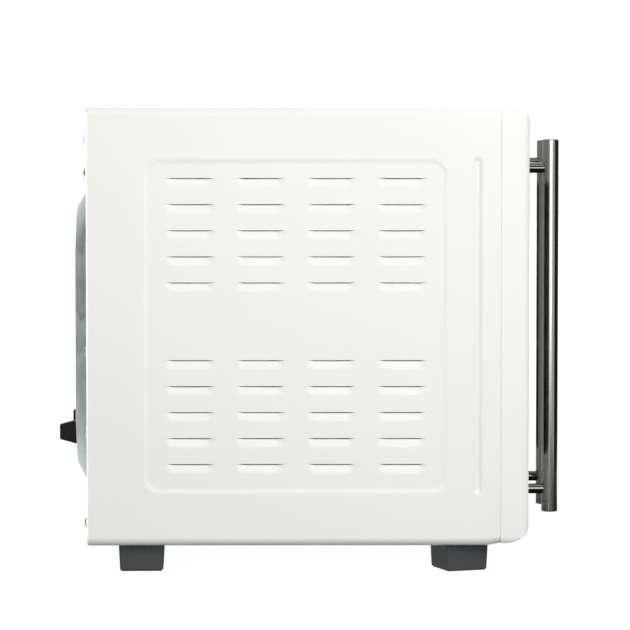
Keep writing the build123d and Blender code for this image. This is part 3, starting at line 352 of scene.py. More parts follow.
def clear_glass(name, colour, roughness):
    """Glass with a tint and a trace of unevenness."""
    shader, place = new_finish(name, colour, roughness)
    rough = spread_to(noise(place, 18.0), roughness, roughness + 0.03)
    fill(shader, {"Transmission Weight": 1.0, "IOR": 1.5, "Roughness": rough})


def printed_ink(name, colour):
    """Print of one ink, a little uneven."""
    shader, place = new_finish(name, colour, 0.5)
    varied(shader, noise(place, 700.0), 0.08, 0.42, 0.55)


# The maker of each finish, its colour or the setting that holds it, and the maker's values
FINISHES = {
    "white_paint": (powder_coat, "paint"),
    "white_moulding": (powder_coat, "moulding"),
    "galvanised_steel": (spangled_zinc, "galvanised"),
    "brushed_panel": (brushed, "panel", (6.0, 900.0, 1500.0), 0.34),
    "cavity_steel": (aluminised, "cavity"),
    "motor_steel": (bright_metal, (0.32, 0.32, 0.32), 0.35),
    "heater_sheath": (heat_tinted, (0.07, 0.066, 0.062)),
    "ceramic": (fired_ceramic, (0.74, 0.71, 0.62)),
    "bright_wire": (bright_metal, (0.66, 0.66, 0.66), 0.12),
    "tray_enamel": (speckled_enamel, "enamel"),
    "lamp_glass": (clear_glass, (0.93, 0.91, 0.84), 0.04),
    "control_housing": (grained_plastic, (0.06, 0.06, 0.062), 0.5, 1400.0, 0.15),
    "amber_lens": (clear_glass, (0.85, 0.24, 0.02), 0.08),
    "black_plastic": (grained_plastic, "plastic", 0.46, 1600.0, 0.15),
    "foot_plastic": (grained_plastic, "foot", 0.55, 620.0, 0.45),
    "plated_steel": (bright_metal, (0.48, 0.48, 0.46), 0.26),
    "white_bush": (gloss_moulding, (0.78, 0.78, 0.75)),
    "magnet": (grained_plastic, (0.05, 0.05, 0.05), 0.6, 900.0, 0.3),
    "bright_trim": (bright_metal, (0.66, 0.66, 0.66), 0.14),
    "knob_plastic": (grained_plastic, "plastic", 0.34, 2200.0, 0.08),
    "fan_aluminium": (brushed, (0.62, 0.62, 0.61), (500.0, 60.0, 500.0), 0.36),
    "window_glass": (clear_glass, "glass", 0.015),
    "black_paint": (powder_coat, (0.02, 0.02, 0.02)),
    "stainless_bar": (brushed, "stainless", (1800.0, 1800.0, 5.0), 0.15),
    # The handle posts take the bars' stainless, darkened to 0.45 of it as painted shade
    "dark_post": (brushed, "stainless", (1800.0, 5.0, 1800.0), 0.12, 0.45),
    "printed_marks": (printed_ink, "mark"),
}


def finish_of(slot):
    """A finish by its name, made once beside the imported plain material."""
    name = f"{slot}_finish"
    if name not in bpy.data.materials:
        maker, colour, *values = FINISHES[slot]
        if isinstance(colour, str):
            colour = getattr(bpy.context.scene.oven_finishes, colour)
        maker(name, colour, *values)
    return bpy.data.materials[name]


# Building blocks of the pieces
def spread(start, end, step):
    """Evenly spaced places from start to end, at most a step apart."""
    count = max(1, math.ceil((end - start) / step - 0.001))
    return [start + (end - start) * place / count for place in range(count + 1)]


def nearest(places, value):
    """The place nearest to a value."""
    return min(places, key=lambda place: abs(place - value))


def made_of(kind, result):
    """The points, edges or faces among what an operator made."""
    return [item for item in result["geom"] if isinstance(item, kind)]


def lines_with(fixed, others, least):
    """The fixed places and each other place that keeps a least distance, in order."""
    kept = sorted(set(fixed))
    for place in others:
        if abs(place - nearest(kept, place)) >= least:
            kept.append(place)
    return sorted(kept)


def mark_sharp(bm, angle):
    """Smooth faces all over, but for the edges that turn by more than an angle."""
    for face in bm.faces:
        face.smooth = True
    for edge in bm.edges:
        edge.smooth = edge.calc_face_angle(0.0) < angle


def shown(bm, name, material):
    """An object in the scene from a bmesh, with one material."""
    mesh = bpy.data.meshes.new(name)
    bm.to_mesh(mesh)
    bm.free()
    mesh.materials.append(material)
    made = bpy.data.objects.new(name, mesh)
    bpy.context.scene.collection.objects.link(made)
    return made


def make_piece(bm, name, body, slot, replaced=(), sharp=35.0, finish=None):
    """A finished piece from a bmesh, which rides on its body."""
    mark_sharp(bm, math.radians(sharp))
    piece = shown(bm, name, finish_of(finish or slot))
    piece.modifiers.new("Weighted normals", "WEIGHTED_NORMAL").keep_sharp = True
    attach(piece, body)
    if replaced:
        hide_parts(*replaced)


def turned(bm, profile, centre, axis, steps):
    """A shape turned about an axis, from pairs of a place along it and a radius."""
    along = Vector(axis).normalized()
    out = along.orthogonal().normalized()
    centre = Vector(centre)
    verts = [bm.verts.new(centre + along * place + out * radius) for place, radius in profile]
    edges = [bm.edges.new(pair) for pair in zip(verts, verts[1:])]
    bmesh.ops.spin(bm, geom=verts + edges, cent=centre, axis=along, dvec=(0, 0, 0),
                   angle=math.tau, steps=steps, use_merge=True, use_duplicate=False)
    bmesh.ops.remove_doubles(bm, verts=bm.verts, dist=0.001 * MM)
    bmesh.ops.recalc_face_normals(bm, faces=bm.faces)


def rounded_copy(node, width, finish=None):
    """A copy of a CAD piece with its triangles merged and its edges rounded."""
    flat, crease = math.radians(0.4), math.radians(28.0)
    bm = bmesh.new()
    bm.from_mesh(NODES[node].data)
    bmesh.ops.remove_doubles(bm, verts=bm.verts, dist=0.002 * MM)
    bmesh.ops.dissolve_limit(bm, angle_limit=flat, use_dissolve_boundaries=False,
                             verts=bm.verts, edges=bm.edges, delimit=set())
    turns = [edge for edge in bm.edges
             if edge.is_manifold and edge.calc_face_angle(0.0) > crease]
    if width and turns:
        bmesh.ops.bevel(bm, geom=turns, offset=width * MM, offset_type="OFFSET",
                        segments=2, profile=0.5, affect="EDGES", clamp_overlap=True,
                        material=-1)
    make_piece(bm, f"finished_{node}", BODIES[node], SLOTS[node], [node], finish=finish)


def rounded_copies(widths):
    """A step that rounds copies of CAD pieces, from each one's name and rounding."""
    for node, width in widths.items():
        rounded_copy(node, width)
    return {"FINISHED"}


# The painted cover, laid out as one flat blank, pressed and then bent
def bent_place(sizes, along, inward):
    """The cross-section place of a length along the blank, moved in from its outer face."""
    low_bend = COVER_LOW.z + sizes.bend
    high_bend = COVER_HIGH.z - sizes.bend
    if low_bend <= along <= high_bend:
        return COVER_LOW.x + inward, along
    upward = along > high_bend
    past = along - high_bend if upward else low_bend - along
    turn = min(past / sizes.bend, math.pi / 2)
    run = max(past - sizes.bend * math.pi / 2, 0.0)
    radius = sizes.bend - inward
    x = COVER_LOW.x + sizes.bend - radius * math.cos(turn) + run
    corner, side = (high_bend, 1) if upward else (low_bend, -1)
    return x, corner + side * radius * math.sin(turn)


def pressed(distance, slope, deep):
    """Depth of a pressing at a distance inside its edge, with a soft S-shaped slope."""
    share = min(max(distance / slope, 0.0), 1.0)
    return deep * share * share * (3.0 - 2.0 * share)


def ramped(distance, slope, deep):
    """Depth of a pressing whose slope is straight, but for a soft start."""
    start = 0.12
    share = min(max(distance / slope, 0.0), 1.0)
    return deep * share * share * (1.0 + start) / (share + start)


def inside_pan(back, height, middle, half, corner):
    """Distance inside the edge of a rounded rectangle, which is negative outside it."""
    across = abs(back - middle[0]) - half[0] + corner
    up = abs(height - middle[1]) - half[1] + corner
    outside = math.hypot(max(across, 0.0), max(up, 0.0))
    return corner - outside - min(max(across, up), 0.0)


def louvre_places(sizes):
    """The middle of each column and the top of each row, as depths and heights."""
    columns = [sizes.louvre_first + place * sizes.louvre_pitch for place in range(sizes.columns)]
    rows = [top - place * sizes.row_pitch for top in (sizes.upper_rows, sizes.lower_rows)
            for place in range(sizes.rows)]
    return columns, rows


def inside_louvre(sizes, back, height, column, row):
    """Distance inside the edge of one louvre, a half slot below its straight lip."""
    half = sizes.louvre_length / 2 - sizes.louvre_height
    across = max(abs(back - column) - half, 0.0)
    return sizes.louvre_height - math.hypot(across, row - height)


def blank_lines(sizes):
    """Where the blank is divided, in depths and in lengths along its profile."""
    columns, rows = louvre_places(sizes)
    front, rear = COVER_FRONT, COVER_REAR
    fine, coarse, least = 1.3 * MM, 18 * MM, 0.5 * MM
    groove_step, toe_step, return_step, top_step = 0.75 * MM, 3 * MM, 1.5 * MM, 30 * MM
    rim, louvre_end = 17 * MM, sizes.louvre_height + 2 * MM
    bend_steps = 10
    field_end = sizes.field_front + sizes.field_length
    field_top = sizes.field_bottom + sizes.field_height
    groove_end = sizes.groove_front + sizes.groove_width
    backs = spread(sizes.field_front, sizes.field_front + rim, fine)
    backs += spread(field_end - rim, field_end, fine)
    backs += spread(sizes.groove_front, groove_end, groove_step)
    for column in columns:
        low, high = column - sizes.louvre_length / 2, column + sizes.louvre_length / 2
        backs += spread(low, low + louvre_end, fine) + spread(high - louvre_end, high, fine)
    backs += spread(front, rear, coarse) + spread(front, front + sizes.toe_length, toe_step)
    heights = []
    for row in rows:
        heights += spread(row - sizes.louvre_height, row, MM) + [row + fine]
    heights += spread(sizes.field_bottom - sizes.groove_below, sizes.field_bottom + rim, fine)
    heights += spread(field_top - rim, field_top + sizes.groove_above, fine)
    low_bend, high_bend = COVER_LOW.z + sizes.bend, COVER_HIGH.z - sizes.bend
    heights += spread(low_bend, high_bend, coarse)
    inner_backs = [place for place in backs if front < place < rear - fine]
    inner_heights = [place for place in heights if low_bend < place < high_bend - fine]
    backs = lines_with([front, rear], inner_backs, least)
    backs += spread(rear, rear + sizes.rear_return, return_step)[1:]
    arc = sizes.bend * math.pi / 2
    heights = lines_with([low_bend, high_bend, *rows], inner_heights, least)
    bottom_run = sizes.bottom_return - sizes.bend
    heights = (spread(low_bend - arc - bottom_run, low_bend - arc, bottom_run)
               + spread(low_bend - arc, low_bend, arc / bend_steps)[1:-1] + heights
               + spread(high_bend, high_bend + arc, arc / bend_steps)[1:-1]
               + spread(high_bend + arc, high_bend + arc - sizes.bend - COVER_LOW.x, top_step))
    return backs, heights


def lay_out_blank(bm, backs, heights):
    """A flat grid whose lines stand at the given depths and heights."""
    bmesh.ops.create_grid(bm, x_segments=len(backs) - 1, y_segments=len(heights) - 1, size=1.0)
    for vert in bm.verts:
        column = round((vert.co.x + 1) / 2 * (len(backs) - 1))
        row = round((vert.co.y + 1) / 2 * (len(heights) - 1))
        vert.co = (backs[column], heights[row], 0.0)


def cut_louvres(bm, sizes):
    """Slits along the straight lip of every louvre."""
    columns, rows = louvre_places(sizes)
    reach = sizes.louvre_length / 2 + TINY
    cuts = []
    for edge in bm.edges:
        ends = [vert.co for vert in edge.verts]
        row, column = nearest(rows, ends[0].y), nearest(columns, ends[0].x)
        if all(abs(end.y - row) < TINY and abs(end.x - column) <= reach for end in ends):
            cuts.append(edge)
    bmesh.ops.split_edges(bm, edges=cuts)


def press_blank(bm, sizes):
    """Depths of the field, the groove and the louvres, kept in the blank's third place."""
    columns, rows = louvre_places(sizes)
    field_middle = (sizes.field_front + sizes.field_length / 2,
                    sizes.field_bottom + sizes.field_height / 2)
    field_half = (sizes.field_length / 2, sizes.field_height / 2)
    groove_low = sizes.field_bottom - sizes.groove_below
    groove_high = sizes.field_bottom + sizes.field_height + sizes.groove_above
    groove_middle = (sizes.groove_front + sizes.groove_width / 2, (groove_low + groove_high) / 2)
    groove_half = (sizes.groove_width / 2, (groove_high - groove_low) / 2)
    groove_slope = groove_half[0] * 0.9
    for vert in bm.verts:
        back, height = vert.co.x, vert.co.y
        field = inside_pan(back, height, field_middle, field_half, sizes.field_corner)
        groove = inside_pan(back, height, groove_middle, groove_half, groove_half[0])
        deep = pressed(field, sizes.press_slope, sizes.press_depth)
        deep += pressed(groove, groove_slope, sizes.groove_depth)
        column = nearest(columns, back)
        row = min(rows, key=lambda top: abs(top - height) + (top < height - TINY))
        below = any(face.calc_center_median().y < row for face in vert.link_faces)
        if height <= row + TINY and below:
            inside = inside_louvre(sizes, back, height, column, row)
            deep += ramped(inside, sizes.louvre_slope, sizes.louvre_depth)
            at_lip = inside_louvre(sizes, back, row, column, row)
            fade = max(0.0, 1.0 - (row - height) / sizes.slit_fade)
            vert.co.y -= pressed(at_lip, sizes.louvre_slope, sizes.slit) * fade
        vert.co.z = deep


def bend_blank(bm, sizes):
    """The pressed blank bent round the oven's left half."""
    toe_fade = 24 * MM
    for vert in bm.verts:
        back, along, inward = vert.co
        if back > COVER_REAR:
            back, inward = COVER_REAR, back - COVER_REAR
        x, z = bent_place(sizes, along, inward)
        toe = max(0.0, 1.0 - (back - COVER_FRONT) / sizes.toe_length)
        low = max(0.0, min(1.0, 1.0 - (z - COVER_LOW.z - sizes.bend) / toe_fade))
        vert.co = (x, FRONT_Y + back, z + sizes.toe_rise * toe * low)


class OVEN_OT_cover(bpy.types.Operator):
    """Press, louvre and bend the painted cover from one flat blank"""

    bl_idname = "oven.cover"
    bl_label = "Outer cover"

    def execute(self, context):
        sizes = context.scene.oven_cover
        bm = bmesh.new()
        lay_out_blank(bm, *blank_lines(sizes))
        cut_louvres(bm, sizes)
        press_blank(bm, sizes)
        bend_blank(bm, sizes)
        bmesh.ops.recalc_face_normals(bm, faces=bm.faces)
        side_faces = [face for face in bm.faces if face.calc_center_median().z > 0.2
                      and face.calc_center_median().x < COVER_LOW.x + sizes.sheet]
        if sum(face.normal.x * face.calc_area() for face in side_faces) > 0:
            bmesh.ops.reverse_faces(bm, faces=bm.faces)
        bmesh.ops.mirror(bm, geom=bm.verts[:] + bm.edges[:] + bm.faces[:],
                         matrix=Matrix.Identity(4), merge_dist=TINY, axis="X")
        bmesh.ops.recalc_face_normals(bm, faces=bm.faces)
        top = max(bm.faces, key=lambda face: face.calc_center_median().z)
        if top.normal.z < 0:
            bmesh.ops.reverse_faces(bm, faces=bm.faces)
        bmesh.ops.solidify(bm, geom=bm.faces[:], thickness=sizes.sheet)
        make_piece(bm, "painted_cover", "oven_body", "white_paint", ["outer_cover"], 48.0)
        return {"FINISHED"}


class OVEN_OT_front_frame(bpy.types.Operator):
    """Round the edges of the front frame and finish its bushes and magnets"""

    bl_idname = "oven.front_frame"
    bl_label = "Front frame"

    def execute(self, context):
        return rounded_copies({"front_frame": 0.9, "hinge_bushes": 0.3, "door_catches": 0.3})


class OVEN_OT_doors(bpy.types.Operator):
    """Round the door frames and finish the glass, its retainers and the small fittings"""

    bl_idname = "oven.doors"
    bl_label = "Doors"

    def execute(self, context):
        for side in DOORS:
            rounded_copies({f"{side}_door_frame": 1.0, f"{side}_door_retainer": 0.3,
                            f"{side}_door_glass": 0.4, f"{side}_hinge_pins": 0.3,
                            f"{side}_strike_plate": 0.3, f"{side}_handle_screws": 0.3})
        return {"FINISHED"}


class OVEN_OT_handles(bpy.types.Operator):
    """Turn the handle bars and round their posts"""

    bl_idname = "oven.handles"
    bl_label = "Handles"

    def execute(self, context):
        sizes = context.scene.oven_details
        for side in DOORS:
            low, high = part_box(f"{side}_handle_bar")
            middle = (low + high) / 2
            half, edge = (high.z - low.z) / 2, sizes.bar_edge
            bm = bmesh.new()
            cap = [(half - edge + edge * math.sin(turn), sizes.bar_radius - edge
                    + edge * math.cos(turn)) for turn in spread(0.0, math.pi / 2, 0.4)]
            upper = cap + [(half, 0.0)]
            lower = [(-place, radius) for place, radius in reversed(upper)]
            turned(bm, lower + upper, middle, (0, 0, 1), 64)
            make_piece(bm, f"{side}_brushed_bar", f"{side}_door", "stainless_bar",
                       [f"{side}_handle_bar"])
            # The posts' finish is the bars' stainless with painted shade that makes it darker
            rounded_copy(f"{side}_handle_posts", 0.3, "dark_post")
        return {"FINISHED"}


class OVEN_OT_control_panel(bpy.types.Operator):
    """Round the control panel, its trim rings and the indicator lens"""

    bl_idname = "oven.control_panel"
    bl_label = "Control panel"

    def execute(self, context):
        return rounded_copies({"control_panel": 0.4, "dial_rings": 0.4, "indicator_lamp": 0.5})


def dial_centre(dial, y):
    """The middle of a dial, at a place along Y."""
    low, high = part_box(f"{dial}_knob")
    return Vector(((low.x + high.x) / 2, y, (low.z + high.z) / 2))


def print_strip(bm, centre, reach, turn, size, thickness):
    """A thin printed strip at a reach and a clockwise turn from straight up."""
    place = (Matrix.Translation(centre) @ Matrix.Rotation(turn, 4, "Y")
             @ Matrix.Translation((0, -thickness / 2, reach))
             @ Matrix.Diagonal((size[0], thickness, size[1], 1.0)))
    bmesh.ops.create_cube(bm, size=1.0, matrix=place)


def print_text(bm, words, centre, reach, turn, height, thickness):
    """Upright figures at a reach and a clockwise turn from straight up."""
    size_for_height = 1.4
    curve = bpy.data.curves.new("figures", "FONT")
    curve.body = words
    curve.size = height * size_for_height
    curve.align_x, curve.align_y = "CENTER", "CENTER"
    curve.extrude = thickness / 2
    holder = bpy.data.objects.new("figures", curve)
    bpy.context.scene.collection.objects.link(holder)
    bpy.context.view_layer.update()
    mesh = bpy.data.meshes.new_from_object(holder.evaluated_get(
        bpy.context.evaluated_depsgraph_get()))
    spot = centre + Vector((reach * math.sin(turn), -thickness / 2, reach * math.cos(turn)))
    mesh.transform(Matrix.Translation(spot) @ Matrix.Rotation(math.pi / 2, 4, "X"))
    bm.from_mesh(mesh)
    bpy.data.objects.remove(holder)
    bpy.data.curves.remove(curve)
    bpy.data.meshes.remove(mesh)


class OVEN_OT_dial_marks(bpy.types.Operator):
    """Print plain ticks, numbers and heater symbols round the dials"""

    bl_idname = "oven.dial_marks"
    bl_label = "Dial marks"

    def execute(self, context):
        sizes = context.scene.oven_details
        bm = bmesh.new()
        thick = sizes.print_height
        scales = {"temperature": (300.0, ["OFF", "50", "100", "150", "200", "250"], 5),
                  "timer": (330.0, ["0", "10", "20", "30", "40", "50", "60"], 5)}
        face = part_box("control_panel")[0].y
        tick_reach, figure_reach, symbol_half = 28.0 * MM, 33.0 * MM, 3.0 * MM
        for dial, (sweep, words, parts) in scales.items():
            centre = dial_centre(dial, face)
            steps = (len(words) - 1) * parts
            for step in range(steps + 1):
                turn = math.radians(sweep * step / steps)
                longer = 1.0 if step % parts == 0 else 0.55
                print_strip(bm, centre, tick_reach, turn,
                            (sizes.tick_width, sizes.tick_length * longer), thick)
            for place, word in enumerate(words):
                turn = math.radians(sweep * place / (len(words) - 1))
                print_text(bm, word, centre, figure_reach, turn, sizes.number_height, thick)
        centre = dial_centre("mode", face)
        for place in range(4):
            turn = math.radians(90.0 * place)
            print_strip(bm, centre, tick_reach, turn, (sizes.tick_width, sizes.tick_length), thick)
            spot = centre + Vector((math.sin(turn), 0, math.cos(turn))) * figure_reach
            if place == 0:
                print_text(bm, "OFF", centre, figure_reach, 0.0, sizes.number_height, thick)
            for level, lit in ((1, place in (1, 2)), (-1, place in (2, 3))):
                if lit:
                    print_strip(bm, spot, level * symbol_half, 0.0,
                                (2 * symbol_half, 2 * sizes.tick_width), thick)
        make_piece(bm, "dial_marks", "oven_body", "knob_plastic", finish="printed_marks")
        return {"FINISHED"}


class OVEN_OT_knobs(bpy.types.Operator):
    """Turn a fluted knob with a pale pointer for each dial"""

    bl_idname = "oven.knobs"
    bl_label = "Knobs"

    def execute(self, context):
        sizes = context.scene.oven_details
        grip, skirt_length, edge = 17.0 * MM, 5.0 * MM, 1.2 * MM
        corner, bore, bore_depth = 0.3 * edge, 3.05 * MM, 10 * MM
        pointer_width, pointer_length, pointer_height = 1.6 * MM, 9 * MM, 0.08 * MM
        for dial in DIALS:
            low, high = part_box(f"{dial}_knob")
            centre = dial_centre(dial, high.y)
            rim, reach = (high.x - low.x) / 2, high.y - low.y
            bm = bmesh.new()
            steps = sizes.knob_flutes * 4
            turned(bm, [(bore_depth, 0.0), (bore_depth, bore), (0.0, bore), (0.0, rim),
                        (skirt_length - edge, rim), (skirt_length - corner, rim - corner),
                        (skirt_length, rim - edge), (skirt_length, grip),
                        (skirt_length + 1.5 * MM, grip), (reach - 3 * edge, grip),
                        (reach - edge, grip), (reach - corner, grip - corner),
                        (reach, grip - edge), (reach, 0.0)], centre, (0, -1, 0), steps)
            for vert in bm.verts:
                out = Vector((vert.co.x - centre.x, 0, vert.co.z - centre.z))
                along = centre.y - vert.co.y
                if skirt_length + MM < along < reach - 2 * edge and out.length > grip - 0.1 * MM:
                    turn = math.atan2(out.x, out.z) * sizes.knob_flutes
                    inward = sizes.flute_depth * (0.5 - 0.5 * math.cos(turn))
                    vert.co -= out.normalized() * inward
            make_piece(bm, f"{dial}_fluted_knob", BODIES[f"{dial}_knob"], "knob_plastic",
                       [f"{dial}_knob"], 40.0)
            pointer = bmesh.new()
            half_sunk = dial_centre(dial, low.y + pointer_height / 2)
            print_strip(pointer, half_sunk, grip - edge - pointer_length / 2, 0.0,
                        (pointer_width, pointer_length), pointer_height)
            make_piece(pointer, f"{dial}_pointer", BODIES[f"{dial}_knob"], "white_moulding")
            rounded_copy(f"{dial}_shaft", 0.2)
        return {"FINISHED"}


def screw_head(bm, place, outward, radius, height, recess):
    """A pan head with a cross recess, seated at a place and facing outward."""
    made = bmesh.ops.create_grid(bm, x_segments=8, y_segments=8, size=1.0)
    half_slot, slot_end, square_to = recess / 2 / radius, 0.55, 0.8
    fall, sink = 0.9, 0.45 * height
    stops = (-1.0, -square_to, -slot_end, -half_slot, 0.0, half_slot, slot_end, square_to, 1.0)
    faces = list({face for vert in made["verts"] for face in vert.link_faces})
    for vert in made["verts"]:
        across = stops[round((vert.co.x + 1) * 4)]
        up = stops[round((vert.co.y + 1) * 4)]
        longest = max(abs(across), abs(up))
        length = math.hypot(across, up)
        scale = longest / length if length > square_to else 1.0
        scale += (1.0 - scale) * max(0.0, (square_to - longest) / square_to)
        vert.co = (across * scale * radius, up * scale * radius, 0.0)
    cross = []
    for face in faces:
        middle = face.calc_center_median()
        if (min(abs(middle.x), abs(middle.y)) < half_slot * radius
                and middle.length < slot_end * radius):
            cross.append(face)
    for vert in made["verts"]:
        share = min(1.0, Vector(vert.co.xy).length / radius)
        vert.co.z = height * math.sqrt(max(0.0, 1.0 - fall * share ** 3))
    top = set(made["verts"])
    rim = [edge for edge in bm.edges if edge.is_boundary and top.issuperset(edge.verts)]
    skirt = bmesh.ops.extrude_edge_only(bm, edges=rim)
    skirt_verts = made_of(bmesh.types.BMVert, skirt)
    for vert in skirt_verts:
        vert.co.z = 0.0
    sunk = bmesh.ops.extrude_face_region(bm, geom=cross)
    sunk_verts = made_of(bmesh.types.BMVert, sunk)
    bmesh.ops.translate(bm, verts=sunk_verts, vec=(0, 0, -sink))
    bmesh.ops.delete(bm, geom=cross, context="FACES")
    bmesh.ops.holes_fill(bm, edges=made_of(bmesh.types.BMEdge, skirt))
    turn = Vector((0, 0, 1)).rotation_difference(Vector(outward)).to_matrix().to_4x4()
    bmesh.ops.transform(bm, matrix=Matrix.Translation(place) @ turn,
                        verts=[vert for vert in made["verts"] + skirt_verts + sunk_verts
                               if vert.is_valid])


def screw_set(name, node, outward, places, radius, height, shank, recess):
    """Screws of one kind as one piece: heads with a recess on plain shanks."""
    bm = bmesh.new()
    outward = Vector(outward)
    for place in places:
        screw_head(bm, place, outward, radius, height, recess)
        inset = height / 8
        turned(bm, [(inset, 0.0), (inset, shank[0]), (-shank[1], shank[0]), (-shank[1], 0.0)],
               place, outward, 24)
    bmesh.ops.recalc_face_normals(bm, faces=bm.faces)
    make_piece(bm, name, BODIES[node], SLOTS[node], [node], 30.0)


class OVEN_OT_rear(bpy.types.Operator):
    """Round the stamped rear panel, its spacers and gland, and set its screws"""

    bl_idname = "oven.rear"
    bl_label = "Rear panel"

    def execute(self, context):
        rounded_copies({"rear_panel": 1.2, "wall_spacers": 1.0, "cord_gland": 0.5})
        sizes = context.scene.oven_details
        low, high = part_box("rear_screws")
        radius, height, shank_radius = 4.3 * MM, 2.4 * MM, 1.95 * MM
        seat = high.y - height
        places = [Vector((side * (high.x - radius), seat, z))
                  for side in (-1, 1) for z in sizes.rear_screws]
        screw_set("rear_pan_screws", "rear_screws", (0, 1, 0), places, radius, height,
                  (shank_radius, seat - low.y), sizes.recess_width)
        return {"FINISHED"}


class OVEN_OT_underside(bpy.types.Operator):
    """Round the feet and finish the bottom plate and foot screws"""

    bl_idname = "oven.underside"
    bl_label = "Feet and bottom plate"

    def execute(self, context):
        return rounded_copies({"feet": 0.8, "bottom_plate": 0.15, "foot_screws": 0.4})


class OVEN_OT_cavity(bpy.types.Operator):
    """Round and finish the oven cavity, its fan guard and its lamp"""

    bl_idname = "oven.cavity"
    bl_label = "Cavity"

    def execute(self, context):
        return rounded_copies({"cavity_left_wall": 0.3, "cavity_right_wall": 0.3,
                               "cavity_roof": 0.2, "cavity_floor": 0.2, "cavity_back_wall": 0.3,
                               "fan_guard": 0.2, "lamp_cover": 0.5, "lamp_holder": 0.3,
                               "lamp_bulb": 0.6})


class OVEN_OT_shelves(bpy.types.Operator):
    """Round and finish the wire rack, the baking tray and the crumb tray"""

    bl_idname = "oven.shelves"
    bl_label = "Rack and trays"

    def execute(self, context):
        return rounded_copies({"wire_rack": 0.0, "baking_tray": 0.35, "crumb_tray": 0.3})


class OVEN_OT_heaters(bpy.types.Operator):
    """Finish the heater rods and their ceramic insulators"""

    bl_idname = "oven.heaters"
    bl_label = "Heaters"

    def execute(self, context):
        return rounded_copies({"upper_heaters": 0.4, "lower_heaters": 0.4,
                               "heater_insulators": 0.5})


class OVEN_OT_fan(bpy.types.Operator):
    """Finish the fan, its shaft and its motor"""

    bl_idname = "oven.fan"
    bl_label = "Fan"

    def execute(self, context):
        return rounded_copies({"fan_blade": 0.2, "fan_shaft": 0.3, "fan_motor": 0.6})


class OVEN_OT_inner_parts(bpy.types.Operator):
    """Finish what stands behind the control panel and under the cavity"""

    bl_idname = "oven.inner_parts"
    bl_label = "Inner parts"

    def execute(self, context):
        return rounded_copies({"thermostat": 0.6, "mode_switch": 0.6, "timer": 0.6,
                               "terminal_block": 0.6, "control_heat_shield": 0.2,
                               "cavity_brackets": 0.3})


# The studio
def camera_or_mirror(tree):
    """1 where the camera sees a surface straight, in a mirror or through glass."""
    path = add_node(tree, "LightPath", {}).outputs
    direct = combined("MAXIMUM", path["Is Camera Ray"], path["Is Transmission Ray"])
    return combined("MAXIMUM", direct, path["Is Glossy Ray"])


def floor_material(colour, bounce):
    """A pale floor that keeps a soft shadow near the oven and is white further off."""
    white_strength, near_share = 1.1, 0.85
    shadow_reach, white_reach = 0.30, 1.10
    material = bpy.data.materials.new("pale_floor")
    material.use_nodes = True
    tree = material.node_tree
    tree.nodes.clear()
    looked_at = camera_or_mirror(tree)
    own_colour = between(looked_at, (bounce, bounce, bounce), colour)
    matt = add_node(tree, "BsdfDiffuse", {"Color": own_colour})
    white = add_node(tree, "Emission", {"Strength": white_strength})
    distance = add_node(tree, "VectorMath", {0: object_place(tree)}, operation="LENGTH")
    far = spread_to(distance.outputs["Value"], near_share, 1.0, shadow_reach, white_reach)
    share = combined("MULTIPLY", far, looked_at)
    mixed = add_node(tree, "MixShader", {0: share, 1: matt.outputs[0], 2: white.outputs[0]})
    add_node(tree, "OutputMaterial", {"Surface": mixed.outputs[0]})
    return material


def studio_world(level):
    """Soft light from all round, which shows as white behind the oven."""
    world = bpy.data.worlds.new("studio")
    world.use_nodes = True
    strength = spread_to(camera_or_mirror(world.node_tree), level, 1.0)
    fill(world.node_tree.nodes["Background"], {"Color": (1.0, 1.0, 1.0, 1.0),
                                               "Strength": strength})
    bpy.context.scene.world = world


def softbox(name, place, target, size, power):
    """A large soft area light that faces a point."""
    light = bpy.data.lights.new(name, "AREA")
    light.shape = "RECTANGLE"
    light.size, light.size_y = size
    light.energy = power
    lamp = bpy.data.objects.new(name, light)
    lamp.location = place
    lamp.rotation_euler = (Vector(target) - Vector(place)).to_track_quat("-Z", "Y").to_euler()
    lamp.visible_camera = False
    bpy.context.scene.collection.objects.link(lamp)


def dark_card(name, place, target, size):
    """A black card beside the set that only mirrors see, so that bright metal has dark bands."""
    bm = bmesh.new()
    turn = (Vector(target) - Vector(place)).to_track_quat("Z", "Y").to_matrix().to_4x4()
    bmesh.ops.create_grid(bm, x_segments=1, y_segments=1, size=0.5,
                          matrix=Matrix.Translation(place) @ turn
                          @ Matrix.Diagonal((*size, 1.0, 1.0)))
    new_finish(name, (0.02, 0.02, 0.02), 0.9)
    card = shown(bm, name, bpy.data.materials[name])
    card.visible_camera = card.visible_diffuse = card.visible_shadow = False
    card.visible_transmission = False


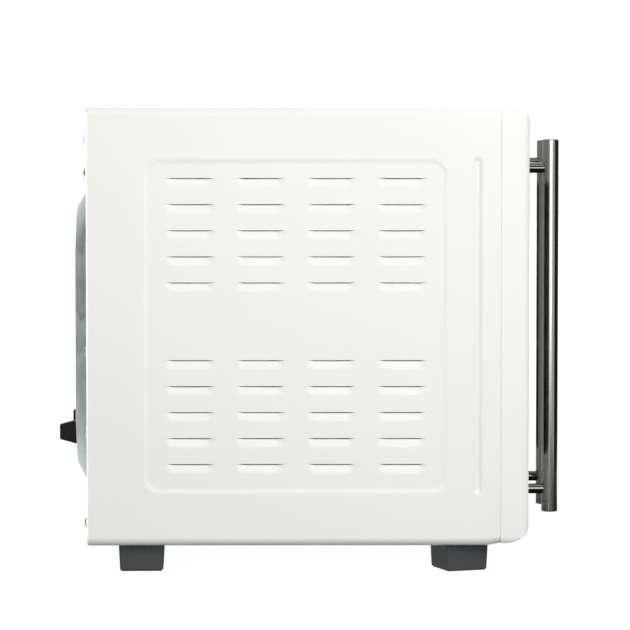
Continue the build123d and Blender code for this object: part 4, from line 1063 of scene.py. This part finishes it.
class OVEN_OT_stage(bpy.types.Operator):
    """Set the camera, the floor, the lights and the world"""

    bl_idname = "oven.stage"
    bl_label = "Studio"

    def execute(self, context):
        scene, sizes = context.scene, context.scene.oven_stage
        scene.view_settings.view_transform = "Standard"
        lens = bpy.data.cameras.new("camera")
        lens.lens = sizes.lens
        lens.clip_end = 60.0
        camera = bpy.data.objects.new("camera", lens)
        scene.collection.objects.link(camera)
        camera.location = sizes.camera_place
        pitch, yaw = sizes.camera_pitch, sizes.camera_yaw
        looking = Vector((math.cos(pitch) * math.cos(yaw), -math.cos(pitch) * math.sin(yaw),
                          -math.sin(pitch)))
        camera.rotation_mode = "QUATERNION"
        camera.rotation_quaternion = looking.to_track_quat("-Z", "Y")
        scene.camera = camera
        bm = bmesh.new()
        bmesh.ops.create_circle(bm, cap_ends=True, segments=96, radius=20.0)
        floor = shown(bm, "floor", floor_material(sizes.floor_colour, sizes.floor_bounce))
        studio_world(sizes.world_level)
        middle = (0.0, 0.0, 0.2)
        softbox("key_light", (-1.15, -0.85, 1.65), middle, (1.0, 0.8), sizes.key_power)
        softbox("near_light", (-2.75, -0.42, 0.95), middle, (1.8, 1.9), sizes.near_power)
        softbox("front_light", (1.2, -2.6, 1.3), middle, (2.2, 2.2), sizes.front_power)
        softbox("far_light", (2.4, -0.3, 1.4), middle, (2.0, 2.0), sizes.far_power)
        softbox("rear_light", (1.0, 2.4, 1.9), middle, (2.0, 2.0), sizes.rear_power)
        dark_card("front_card", (0.27, -0.80, 0.20), (0.27, 0.0, 0.20), (1.36, 0.9))
        dark_card("upper_card", (-1.20, -0.30, 1.02), (0.0, -0.30, 1.02), (0.6, 0.95))
        dark_card("low_card", (-0.55, -0.46, 0.003), (-0.55, -0.46, 1.0), (1.5, 0.6))
        dark_card("rear_card", (-0.10, 1.10, 0.20), (-0.10, 0.0, 0.20), (1.9, 0.9))
        return {"FINISHED"}


OPERATORS = (OVEN_OT_stage, OVEN_OT_cover, OVEN_OT_front_frame, OVEN_OT_doors, OVEN_OT_handles,
             OVEN_OT_control_panel, OVEN_OT_dial_marks, OVEN_OT_knobs, OVEN_OT_rear,
             OVEN_OT_underside, OVEN_OT_cavity, OVEN_OT_shelves, OVEN_OT_heaters, OVEN_OT_fan,
             OVEN_OT_inner_parts)


class OVEN_PT_pieces(bpy.types.Panel):
    """Lists the steps that finish the oven"""

    bl_idname = "OVEN_PT_pieces"
    bl_label = "Mini Oven"
    bl_space_type = "VIEW_3D"
    bl_region_type = "UI"
    bl_category = "Oven"

    def draw(self, context):
        for operator in OPERATORS:
            self.layout.operator(operator.bl_idname)
        for group in GROUPS:
            own = getattr(context.scene, group)
            box = self.layout.box()
            for name in own.__annotations__:
                box.prop(own, name)


GROUPS = {"oven_finishes": OvenFinishes, "oven_cover": OvenCoverSizes,
          "oven_details": OvenDetailSizes, "oven_stage": OvenStageSizes}
CLASSES = (*GROUPS.values(), *OPERATORS, OVEN_PT_pieces)


def register():
    """Make the steps, the panel and the settings known."""
    for made in CLASSES:
        bpy.utils.register_class(made)
    for name, group in GROUPS.items():
        setattr(bpy.types.Scene, name, PointerProperty(type=group))


def unregister():
    """Take the steps, the panel and the settings away again."""
    for name in GROUPS:
        delattr(bpy.types.Scene, name)
    for made in reversed(CLASSES):
        bpy.utils.unregister_class(made)


def main():
    """Run every step in order."""
    register()
    for operator in OPERATORS:
        family, name = operator.bl_idname.split(".")
        getattr(getattr(bpy.ops, family), name)()


if __name__ == "__main__":
    main()
